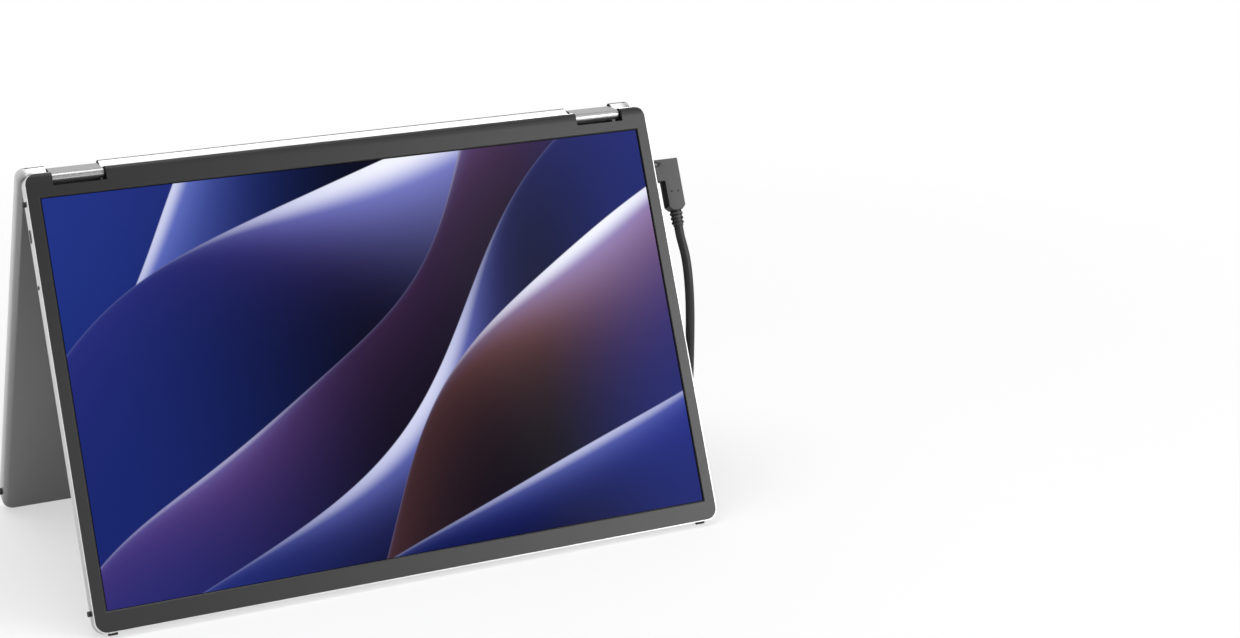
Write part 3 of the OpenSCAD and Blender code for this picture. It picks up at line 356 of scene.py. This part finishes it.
class Graph:
    """A node tree; node() adds any node."""

    def __init__(self, owner):
        owner.use_nodes = True
        self.tree = owner.node_tree
        self.tree.nodes.clear()

    def put(self, value, socket):
        """Links a wire to the socket, or sets the socket's own value."""
        if isinstance(value, Wire):
            self.tree.links.new(value.socket, socket)
        elif isinstance(value, tuple) and socket.type == "RGBA":
            socket.default_value = (*value, 1)
        else:
            socket.default_value = value

    def node(self, kind, settings=None, values=None, output=0):
        """A new node with these settings and socket values, as the wire from one of its outputs."""
        made = self.tree.nodes.new(kind)
        for name, value in (settings or {}).items():
            setattr(made, name, value)
        for key, value in (values or {}).items():
            self.put(value, made.inputs[key])
        return Wire(self, made.outputs[output])

    def vectors(self, operation, a, b, output=0):
        """The Vector Math node of that name on a and b."""
        return self.node("ShaderNodeVectorMath", {"operation": operation}, {0: a, 1: b}, output)

    def parts(self, vector):
        """The X, Y and Z of a vector."""
        return [self.node("ShaderNodeSeparateXYZ", {}, {0: vector}, k) for k in range(3)]

    def mix(self, share, a, b):
        """Colour a at share 0 and colour b at share 1."""
        return self.node("ShaderNodeMix", {"data_type": "RGBA"}, {0: share, 6: a, 7: b}, 2)

    def blend(self, share, a, b):
        """Shader a at share 0 and shader b at share 1."""
        return self.node("ShaderNodeMixShader", {}, {0: share, 1: a, 2: b})

    def light_paths(self):
        """1 for camera rays, for glossy rays and for transmission rays."""
        kinds = ("Camera", "Glossy", "Transmission")
        return [self.node("ShaderNodeLightPath", output=f"Is {kind} Ray") for kind in kinds]


class Finish(Graph):
    """A material round one Principled shader."""

    def __init__(self, name, **shader):
        self.material = bpy.data.materials.new(name)
        super().__init__(self.material)
        self.place = self.node("ShaderNodeTexCoord", output="Object")
        self.surface = self.node("ShaderNodeTexCoord", output="UV")
        self.shader = self.tree.nodes.new("ShaderNodeBsdfPrincipled")
        self.out = self.tree.nodes.new("ShaderNodeOutputMaterial")
        self.tree.links.new(self.shader.outputs[0], self.out.inputs[0])
        self.set(**shader)

    def set(self, **shader):
        """Sets the shader's sockets; base_color stands for Base Color, and so on."""
        for name, value in shader.items():
            socket = " ".join(word.capitalize() for word in name.split("_")).replace("Ior", "IOR")
            self.put(value, self.shader.inputs[socket])

    def along(self, direction, start=(0, 0, 0)):
        """Millimetres of the surface's place from start, along a direction."""
        moved = self.vectors("SUBTRACT", self.place, tuple(start))
        return self.vectors("DOT_PRODUCT", moved, tuple(direction), 1) * PER_METRE

    def noise(self, size, detail=2.0, stretch=(1, 1, 1)):
        """Noise from 0 to 1 with grains of size millimetres, squeezed along each axis by stretch."""
        mapped = self.node("ShaderNodeMapping", {}, {0: self.place, 3: stretch})
        values = {0: mapped, "Scale": PER_METRE / size, "Detail": detail}
        return self.node("ShaderNodeTexNoise", {}, values)

    def bump(self, height, depth):
        """Normal from a height of 0 to 1 that stands for depth millimetres."""
        values = {"Height": height, "Distance": depth * MM}
        self.set(normal=self.node("ShaderNodeBump", {}, values))
        return self


def colour(r, g, b):
    """Linear colour from display levels of 0 to 255."""
    return tuple(((c / 255 + 0.055) / 1.055) ** 2.4 for c in (r, g, b))


def grey(level):
    """Linear grey from a display level of 0 to 255."""
    return colour(level, level, level)


def dimmed(tone, share):
    """The tone with that share of its light taken away."""
    return tuple(c * (1 - share) for c in tone)


def metal(name, tone, roughness, grain=0.25, depth=0.004, stretch=(1, 1, 1)):
    """Satin metal: a fine grain in the height and the gloss, and faint wide patches in the tone."""
    made = Finish(name, metallic=1.0)
    fine, wide = made.noise(grain, 3.0, stretch), made.noise(40.0, 1.0)
    made.set(base_color=made.mix(wide, tone, dimmed(tone, 0.04)),
             roughness=fine.about(roughness, METAL_GLOSS) + (wide - 0.5) * 0.04)
    return made.bump(fine, depth).material


def hinge_cap(name):
    """Cap of a hinge: metal brushed along its length, with a painted shade that makes its flat top
    darker than its rolled sides."""
    made = Finish(name, metallic=0.85)
    fine = made.noise(0.16, 3.0, (0.06, 1, 1))
    height = made.along((0, 0, 1)) - AXIS_H
    side = made.mix(fine, grey(192), grey(184))
    # Painted shade: the flat top is darker than the rolled sides.
    made.set(base_color=made.mix(height.rise(*CAP_BAND), side, grey(152)), roughness=fine.about(0.28, 0.14))
    return made.bump(fine, 0.010).material


def moulded(name, tone, roughness, grain, depth):
    """Moulded plastic or rubber: a spark-eroded grain, and a slightly uneven tone and gloss."""
    made = Finish(name)
    fine, wide = made.noise(grain, 2.0), made.noise(12.0, 2.0)
    made.set(base_color=made.mix(fine * 0.5 + wide * 0.5, tone, dimmed(tone, 0.15)),
             roughness=fine.about(roughness, PLASTIC_GLOSS))
    return made.bump(fine, depth).material


def half_places(made, rear):
    """Millimetres across, up and out of the screen, from the middle of a half's hinge axis."""
    flip = -1 if rear else 1
    start = (X_SHIFT * MM, -flip * AXIS_GAP / 2 * MM, AXIS_H * MM)
    return (made.along((flip, 0, 0), start),
            made.along((0, flip * np.sin(LEAN), np.cos(LEAN)), start),
            made.along((0, -flip * np.cos(LEAN), np.sin(LEAN)), start))


def notch_shadow(u, v):
    """1 on the walls of the two notches round the hinge caps, where a shadow is painted."""
    return (abs(abs(u) - HINGE_X) < NOTCH_HALF + NOTCH_SKIN) * (v > NOTCH_FLOOR - NOTCH_SKIN)


def cover(name, rear):
    """Blasted and anodised aluminium: a cut rim lightened as a painted highlight, a painted highlight
    along the hinge edge, satin walls, a darker flat back that is partly painted shade, and a painted
    shadow in the notches. The rear half's walls carry a painted shade that darkens them towards the back."""
    made = Finish(name)
    u, v, w = half_places(made, rear)
    fine, wide = made.noise(0.3, 3.0), made.noise(40.0, 1.0)
    wall = made.mix(wide, grey(208), grey(202))
    # The back's darker tone is partly the metal's own and partly painted shade.
    back = made.mix(wide, grey(147), grey(141))
    # Painted shade: the rear half's walls darken towards the back.
    if rear:
        wall = made.mix(w.rise(-FACE_W, FACE_W), grey(140), wall)
    tone = made.mix((w + FACE_W).rise(*BACK_BAND), back, wall)
    # Painted highlight along the hinge edge, fading towards the corners.
    tone = made.mix(v.rise(*EDGE_BAND) * (1 - abs(u).rise(*EDGE_ENDS)), tone, grey(246))
    # The cut rim is lightened as a painted highlight.
    rim, notch = w.rise(*RIM_BAND), notch_shadow(u, v)
    # Painted shadow: the notches are near black.
    made.set(base_color=made.mix(notch, made.mix(rim, tone, grey(226)), grey(14)),
             metallic=(rim * -0.55 + 0.9) * (1 - notch),
             roughness=fine.about(0.36, METAL_GLOSS) + notch * 0.3)
    return made.bump(fine, 0.006).material


def bezel(name, rear):
    """Fine matte plastic. A painted shade darkens it towards the hinge and more where it rolls over to
    it, and a painted shadow fills the notches. Its window has a rounded edge."""
    made = Finish(name, specular_ior_level=0.45)
    u, v, _ = half_places(made, rear)
    fine, wide = made.noise(0.25), made.noise(12.0)
    flat = made.mix(fine * 0.5 + wide * 0.5, grey(39), grey(35))
    # Painted shade towards the hinge.
    flat = made.mix(v.rise(*SHADE_BAND), flat, grey(22))
    rolled, notch = v.rise(*ROLL_BAND), notch_shadow(u, v)
    # Painted shade on the roll over the hinge edge, and a painted shadow in the notches.
    made.set(base_color=made.mix(notch, made.mix(rolled, flat, grey(13)), grey(6)),
             roughness=fine.about(0.37, PLASTIC_GLOSS) + rolled * 0.15 + notch * 0.3)
    past = (abs(u) - LIT_W / 2).larger(abs(v - LIT_MID) - LIT_H / 2)
    return made.bump(past.rise(*LIP_BAND) + fine * 0.02, 0.5).material


# Level, swing, rate, phase, slope, band, turn along s, halo, strength of the halo
FOLDS = [
    (1.30, 0.20, 1.50, 0.6, 0.10, 0.10, 2.4, colour(70, 96, 214), 0.8),
    (0.78, 0.26, 1.25, 2.2, -0.12, 0.15, 0.2, colour(104, 84, 196), 0.9),
    (0.34, 0.22, 1.60, 4.4, 0.16, 0.09, 4.3, colour(160, 100, 180), 0.8),
    (-0.06, 0.30, 1.20, 5.6, -0.05, 0.17, 2.2, colour(86, 92, 214), 0.9),
    (-0.56, 0.24, 1.45, 0.9, 0.12, 0.08, 5.6, colour(196, 124, 116), 0.7),
    (-0.98, 0.22, 1.30, 2.9, -0.10, 0.12, 1.1, colour(46, 66, 206), 0.9)]
FOLD_TURN = np.radians(36)


def satin(made, x, y):
    """Folds of satin that run up to the right. In turned axes s and t a fold lies below its crest line
    t = level + swing sin(rate s + phase) + slope s, with a small overtone. Its edge is white, then pale,
    then its halo colour, each fading with depth, and a sine along s swells and thins that light. x and y
    are in half heights of the picture."""
    s = x * np.cos(FOLD_TURN) + y * np.sin(FOLD_TURN)
    t = y * np.cos(FOLD_TURN) - x * np.sin(FOLD_TURN)
    navy, night = colour(22, 37, 108), colour(5, 8, 24)
    pale, white = colour(150, 162, 238), colour(244, 246, 255)
    base = made.mix(x.rise(-1.55, 0.05), navy, night)
    base = made.mix(x.rise(0.75, 1.65), base, colour(24, 35, 108))
    sky = made.mix((x + y).rise(-1.4, 1.8), colour(34, 54, 138), colour(38, 42, 116))
    lit = made.mix(t.rise(0.5, 1.9), base, sky)
    for level, swing, rate, phase, slope, band, along, halo, power in FOLDS:
        overtone = (s * (rate * 2.3) + phase * 2).sin() * (swing * 0.12)
        depth = (s * rate + phase).sin() * swing + overtone + s * slope + level - t
        swell = (s * 1.7 + along).sin() * 0.5 + 0.5
        near_left, near_foot = x.rise(-1.7, -0.3) * 0.8 + 0.2, y.rise(-1.05, 0.25) * 0.8 + 0.2
        swell = swell * swell * near_left * near_foot
        width = swell * band + 0.004
        fold = made.mix(depth.fall(0.24) * (swell * power + 0.10), base, halo)
        fold = made.mix((depth / (width * 1.6)).fall(1.0) * (swell * 0.85 + 0.12), fold, pale)
        crest = 1 - (depth / width).rise(0.15, 1.3)
        fold = made.mix(crest * (swell * 0.96 + 0.04), fold, white)
        lit = made.mix(depth.rise(-0.004, 0.004), lit, fold)
    return lit


def display(name, rear):
    """Dark glass over a lit picture, with a dark margin between the picture and the bezel."""
    made = Finish(name, base_color=grey(3), roughness=0.1, specular_ior_level=0.02, emission_strength=1.0)
    u, v, w = half_places(made, rear)
    x, y = u / (LIT_H / 2), (v - LIT_MID) / (LIT_H / 2)
    across, up = u - (LIT_LEFT + LIT_RIGHT) / 2, v - LIT_MID - (LIT_LOW + LIT_HIGH) / 2
    inside = (abs(across) < (LIT_RIGHT - LIT_LEFT) / 2) * (abs(up) < (LIT_HIGH - LIT_LOW) / 2)
    inside = inside * (w > GLASS_W - SKIN)
    made.set(emission_color=made.mix(inside, BLACK, satin(made, x, y)))
    return made.material


def angled_plug(name):
    """Matte overmould with a painted shade on the flank beside its step. Its face has an oblong dimple,
    darkened as painted shade, with a bright dot at the arm's upper end, and two small marks lower down."""
    made = Finish(name)
    u, v, w = half_places(made, False)
    fine, wide = made.noise(0.2), made.noise(6.0)

    def spot(at_u, at_v, wide_u, high_v):
        """Oval with a soft rim, 1 inside."""
        across, up = (u - at_u) / wide_u, (v - at_v) / high_v
        return 1 - (across * across + up * up).rise(0.7, 1.2)

    face = w > PLUG_FACE
    flank = (u < PLUG_X0 + PLUG_STEP + SKIN) * (v < PLUG_Y1 - PLUG_ARM + SKIN)
    dimple, pearl, marks = spot(*DIMPLE), spot(*PEARL), spot(*LEFT_DOT) + spot(*RIGHT_DOT)
    tone = made.mix(fine * 0.5 + wide * 0.5, grey(74), grey(67))
    # Painted shade on the flank beside the step.
    tone = made.mix(flank, tone, grey(18))
    # Painted shade in the dimple's recess; the two marks share its dark tone.
    tone = made.mix((dimple + marks) * face, tone, grey(12))
    made.set(base_color=made.mix(pearl * face, tone, grey(120)), roughness=fine.about(0.55, PLASTIC_GLOSS))
    return made.bump(fine * 0.1 + (1 - dimple - marks), 0.15).material


def sleeve(name):
    """Strain relief: matte rings with grooves between them that a painted shade darkens, along the relief's
    own map.
    """
    made = Finish(name)
    along, _, _ = made.parts(made.surface)
    fine = made.noise(0.2)
    ring = ((along / (RELIEF_L / 3.5) - 0.54) * (2 * np.pi)).sin().rise(-0.5, 0.3)
    # Painted shade: the grooves between the rings are near black.
    made.set(base_color=made.mix(ring, grey(8), grey(58)), roughness=fine.about(0.55, PLASTIC_GLOSS))
    return made.bump(fine, 0.012).material


def jacket(name):
    """Satin cord jacket: a faint spiral of the cores under it, and a fine grain, along the cord's own
    map."""
    made = Finish(name)
    along, round_it, _ = made.parts(made.surface)
    spiral = ((along * 0.35 + round_it * 0.87).sin() + 1) * 0.5
    fine = made.noise(0.18)
    made.set(base_color=made.mix(fine, grey(22), grey(33)), roughness=0.42 + fine * 0.1)
    return made.bump(spiral * 0.3 + fine * 0.3, 0.03).material


def strap(name):
    """Woven strap: over and under threads along its own map."""
    made = Finish(name, roughness=0.85)
    along, round_it, _ = made.parts(made.surface)
    weave = (along * 9.0).sin() * (round_it * 9.0).sin() * 0.5 + 0.5
    made.set(base_color=made.mix(weave, grey(18), grey(44)))
    return made.bump(weave, 0.12).material


def circuit(name):
    """Solder mask: two sets of tracks in a lighter green, where fast and slow sines of x and z are high."""
    made = Finish(name, roughness=0.4)
    x, z = made.along((1, 0, 0)), made.along((0, 0, 1))
    upright = ((x * 2.2).sin() > 0.72) * ((z * 0.31).sin() > -0.2)
    level = ((z * 2.2).sin() > 0.78) * ((x * 0.23).sin() > 0.1)
    tracks = upright + level
    made.set(base_color=made.mix(tracks.rise(0.0, 1.0), colour(16, 74, 46), colour(34, 112, 70)))
    return made.bump(tracks, 0.02).material


def flex(name):
    """Amber film with fine copper conductors that run up the half."""
    made = Finish(name, roughness=0.35)
    lines = (made.along((1, 0, 0)) * 7.0).sin().rise(-0.2, 0.4)
    made.set(base_color=made.mix(lines, colour(150, 88, 26), colour(206, 138, 62)), metallic=lines * 0.4)
    return made.bump(lines, 0.03).material


# Tone, roughness, then the grain's size, depth and stretch
FINISHES = {
    "foam": moulded("Foam", grey(24), 0.9, 0.5, 0.08),
    "panel_plate": metal("Panel plate", grey(176), 0.45, 0.6, 0.01, (1, 12, 1)),
    "hinge_steel": metal("Hinge steel", grey(186), 0.32, 0.3, 0.006, (0.1, 1, 1)),
    "screws": metal("Screws", grey(180), 0.35, 0.3),
    "rubber": moulded("Rubber", grey(44), 0.7, 0.25, 0.02),
    "circuit_board": circuit("Circuit board"),
    "flat_flex": flex("Flat flex"),
    "coax_sleeve": moulded("Coax sleeve", grey(30), 0.5, 0.15, 0.02),
    "tinned_sheet": metal("Tinned sheet", grey(206), 0.25, 1.2, 0.01),
    "connector_metal": metal("Connector metal", grey(204), 0.24, 0.3),
    "keys": metal("Keys", grey(84), 0.3, 0.3),
    "hinge_caps": hinge_cap("Hinge caps"),
    "cord_jacket": jacket("Cord jacket"),
    "tie_strap": strap("Tie strap"),
    "plug_plastic": moulded("Plug plastic", grey(84), 0.55, 0.2, 0.012),
}
RELIEF_FINISH, ANGLED_FINISH = sleeve("Relief plastic"), angled_plug("Angled plug plastic")
HALF_FINISHES = {
    "front_cover": cover("Front cover", False), "rear_cover": cover("Rear cover", True),
    "front_bezel": bezel("Front bezel", False), "rear_bezel": bezel("Rear bezel", True),
    "front_panel": display("Front display", False), "rear_panel": display("Rear display", True)}
slots = {s["node"]: s["material_slot"] for s in frame["record"]["subparts"]}
for name, node in nodes.items():
    node.data.materials.clear()
    node.data.materials.append(HALF_FINISHES.get(name) or FINISHES[slots[name]])


# Cord: the route of the part's source, then the coil and its lead to the far plug

EXIT = in_front(PLUG_MID, PLUG_Y0 - PLUG_CHAMFER - RELIEF_L, PLUG_Z) / MM
DOWN = in_front(0, -1, 0) / MM - in_front(0, 0, 0) / MM
ROUTE = np.array([
    [168, -33.2, 124], [168, -37, 114], [168, -39, 103], [168, -39.8, 91], [168, -39.8, 79],
    [168, -39.5, 67], [168, -38.8, 55], [168, -37.1, 44], [168, -33, 33], [168, -27, 23.5],
    [168, -19, 15.5], [168, -9.5, 9], [168, 1, 5], [168, 12, 3], [168, 24, 2.3],
    [168, 36, 2.3], [168, 48, 2.3], [168, 60, 2.3], [169, 72, 2.3], [170, 84, 2.3],
    [170, 96, 2.3], [170, 106, 2.3], [170, 115, 2.6], [170, 124, 3.1], [170, 132, 3.3], [170, 137.4, 3.3]])


def coil_point(t):
    """Spiral, t turns in: the radius shrinks by one pitch a turn to the middle and grows back one layer
    higher, which it reaches in a half cosine wave."""
    r = COIL_R - PITCH * np.minimum(t, TURNS - t)
    climb = np.clip((t - (TURNS - CLIMB_TURNS) / 2) / CLIMB_TURNS, 0, 1)
    a = 2 * np.pi * t
    height = COIL_Z + PITCH * (1 - np.cos(np.pi * climb)) / 2
    return np.stack([COIL_X + r * np.cos(a), COIL_Y + r * np.sin(a), height], -1)


def lead_point(share):
    """Straight on from the coil's end, 0 to 1 along it, and down to the floor layer in a half cosine
    wave."""
    end = coil_point(np.array(TURNS))
    drop = (1 - np.cos(np.pi * share)) / 2
    height = end[2] + (COIL_Z - end[2]) * drop
    return np.stack([end[0] - LEAD_START - LEAD_L * share, np.full_like(share, end[1]), height], -1)


LEAD = lead_point(np.linspace(0, 1, LEAD_STEPS))
FAR = LEAD[-1] + [-CORD_D, 0, 0]
coil = coil_point(np.arange(int(TURNS * COIL_STEPS) + 1) / COIL_STEPS)
centre_line = np.concatenate([[EXIT, EXIT + CORD_D * DOWN], ROUTE, coil, LEAD, [FAR]]) * MM
centre_line = through(centre_line, CORD_STEP * MM)
cable_cord = piece("cable_cord", [tube(centre_line, CORD_D / 2 * MM, DOWN, (-1.0, 0, 0))],
                   "cable", FINISHES["cord_jacket"], ["cord", "cord_coil"])


def tie_ring():
    """Strap round the coil's turns: a thin rounded section carried round a rounded rectangle in the
    radial plane."""
    skin = TIE_T / 2
    loop = rounded_box(TIE_IN - skin, TIE_OUT + skin, skin, TIE_TOP + skin, TIE_CORNER, 10)
    side = unit(np.roll(loop, -1, 0) - np.roll(loop, 1, 0))
    out = np.stack([side[:, 1], -side[:, 0]], -1)
    section = rounded_box(-TIE_W / 2, TIE_W / 2, -skin, skin, TIE_EDGE, 4)
    flat = loop[None] + section[:, 1, None, None] * out[None]
    sin, cos = np.sin(TIE_ANGLE), np.cos(TIE_ANGLE)
    ahead, across = np.array([cos, sin]), np.array([sin, -cos])
    xy = np.array([COIL_X, COIL_Y]) + flat[..., :1] * ahead + section[:, 0, None, None] * across
    return np.concatenate([xy, flat[..., 1:]], -1) * MM


piece("cord_strap", [tie_ring()], "cable", FINISHES["tie_strap"], ["cord_tie"],
      ends=False, flip=True)


# Plugs

def relief(start, axis, side):
    """Ribbed sleeve: a cone from the neck to the cord, with three rings that two notches each, turned
    by a quarter, interrupt. Each ring is a little lower than the one before."""
    along = np.linspace(0, RELIEF_L, RELIEF_ROWS)
    a = np.arange(RELIEF_SIDES) * 2 * np.pi / RELIEF_SIDES
    cone = RELIEF_NECK + (CORD_D / 2 + 0.25 - RELIEF_NECK) * along / RELIEF_L
    rib = RELIEF_L / 7
    radius = np.repeat(cone[:, None], RELIEF_SIDES, 1)
    for i in range(3):
        ring = np.clip((0.5 * rib - abs(along - (2 * i + 1.5) * rib)) / RELIEF_FLANK + 0.5, 0, 1)
        notch = np.clip((abs(np.sin(a + i * np.pi / 2)) - 0.3) / RELIEF_FLANK, 0, 1)
        height = RELIEF_RIB - 0.1 * i - cone[:, None]
        radius = np.maximum(radius, cone[:, None] + height * ring[:, None] * notch)
    return turned(radius * MM, along * MM, start, axis, side, RELIEF_SIDES)


foot_y, arm_y, step_x = PLUG_Y0 - PLUG_CHAMFER, PLUG_Y1 - PLUG_ARM, PLUG_X0 + PLUG_STEP
far_end = FAR[0] - RELIEF_L
piece("plug_relief", [relief(in_front(PLUG_MID, foot_y, PLUG_Z), DOWN, (1, 0, 0))],
      "cable", RELIEF_FINISH, ["angled_plug_relief"])
far_start = np.array([far_end, FAR[1], COIL_Z]) * MM
far_relief = piece("far_plug_sleeve", [relief(far_start, (1, 0, 0), (0, 1, 0))],
                   "cable", RELIEF_FINISH, ["far_plug_relief"])

plug_outline = rounded_outline([
    (PLUG_X0, PLUG_Y1), (PLUG_X0, arm_y), (step_x, arm_y), (step_x, PLUG_Y0),
    (step_x + PLUG_CHAMFER, foot_y), (PLUG_X1 - PLUG_CHAMFER, foot_y),
    (PLUG_X1, PLUG_Y0), (PLUG_X1, PLUG_Y1)],
    [0.8, 0.4, 0.6, 1.0, 1.0, 0.6, 0.6, 0.5])
piece("plug_body", [rounded_slab(plug_outline, PLUG_T, PLUG_EDGE, PLUG_Z, in_front)],
      "cable", ANGLED_FINISH, ["angled_plug"])
far_back, far_neck = far_end - FAR_L, far_end - PLUG_CHAMFER
far_outline = rounded_outline([
    (far_back, -FAR_HALF), (far_neck, -FAR_HALF), (far_end, -FAR_NECK),
    (far_end, FAR_NECK), (far_neck, FAR_HALF), (far_back, FAR_HALF)],
    [0.6, 1.0, 1.0, 1.0, 1.0, 0.6])
far_body = piece("far_plug_body", [rounded_slab(far_outline, PLUG_T, FAR_EDGE, COIL_Z, at_far_plug)],
                 "cable", FINISHES["plug_plastic"], ["far_plug"])


# Floor and light

def stage_floor():
    """Plain white floor that keeps the object's shadow and fades into the backdrop further out."""
    made = Finish("Floor", roughness=0.9, specular_ior_level=0.0)
    made.set(base_color=made.mix(made.noise(300.0, 1.0), grey(250), grey(247)))
    x, y, _ = made.parts(made.place)
    away = (x * x + y * y) ** 0.5
    shown, glossy, through_glass = made.light_paths()
    white = made.node("ShaderNodeEmission", {}, {0: WHITE, 1: 1.0})
    share = (shown + through_glass) * FLOOR_WHITE + glossy * FLOOR_SHEEN
    pale = made.blend(share, Wire(made, made.shader.outputs[0]), white)
    clear = made.node("ShaderNodeBsdfTransparent")
    made.put(made.blend(away.rise(*FLOOR_FADE), pale, clear), made.out.inputs[0])
    mesh = bpy.data.meshes.new("Floor")
    mesh.from_pydata([(-FLOOR_HALF, -FLOOR_HALF, 0), (FLOOR_HALF, -FLOOR_HALF, 0),
                      (FLOOR_HALF, FLOOR_HALF, 0), (-FLOOR_HALF, FLOOR_HALF, 0)], [], [(0, 1, 2, 3)])
    mesh.materials.append(made.material)
    floor = bpy.data.objects.new("Floor", mesh)
    bpy.context.scene.collection.objects.link(floor)


def soft_box(name, place, aim, size, power):
    """Square area lamp at place, facing aim."""
    data = bpy.data.lights.new(name, "AREA")
    data.shape, data.size, data.energy = "SQUARE", size, power
    lamp = bpy.data.objects.new(name, data)
    away = unit(np.array(place, float) - np.array(aim, float))
    right = unit(np.cross([0, 0, 1.0], away))
    lamp.matrix_world = axes(right, np.cross(away, right), away, place)
    bpy.context.scene.collection.objects.link(lamp)


def surroundings():
    """White backdrop for camera and transmission rays. Metal and glass see it behind, above and below
    the object, and the dimmer room in front of it. Everything else gets an even light."""
    world = bpy.data.worlds.new("Surroundings")
    bpy.context.scene.world = world
    sky = Graph(world)
    _, behind, above = sky.parts(sky.node("ShaderNodeTexCoord", output="Generated"))
    shown, glossy, through_glass = sky.light_paths()
    open_side = behind.rise(*BEHIND_BAND).larger(above.rise(*ABOVE_BAND))
    open_side = open_side.larger((above * -1).rise(*BELOW_BAND))
    level = AMBIENT + glossy * (ROOM + open_side * (1.0 - ROOM) - AMBIENT)
    level = level.larger(shown + through_glass)
    light = sky.node("ShaderNodeBackground", {}, {0: WHITE, 1: level})
    sky.tree.links.new(light.socket, sky.tree.nodes.new("ShaderNodeOutputWorld").inputs[0])


stage_floor()
surroundings()
soft_box("Right soft box", place=(1.36, -1.62, 0.85), aim=(0.1, 0, 0.1), size=1.1, power=24)
soft_box("Top soft box", place=(-0.2, 0.1, 1.8), aim=(0, 0, 0), size=1.2, power=14)
bpy.context.scene.view_settings.view_transform = "Standard"
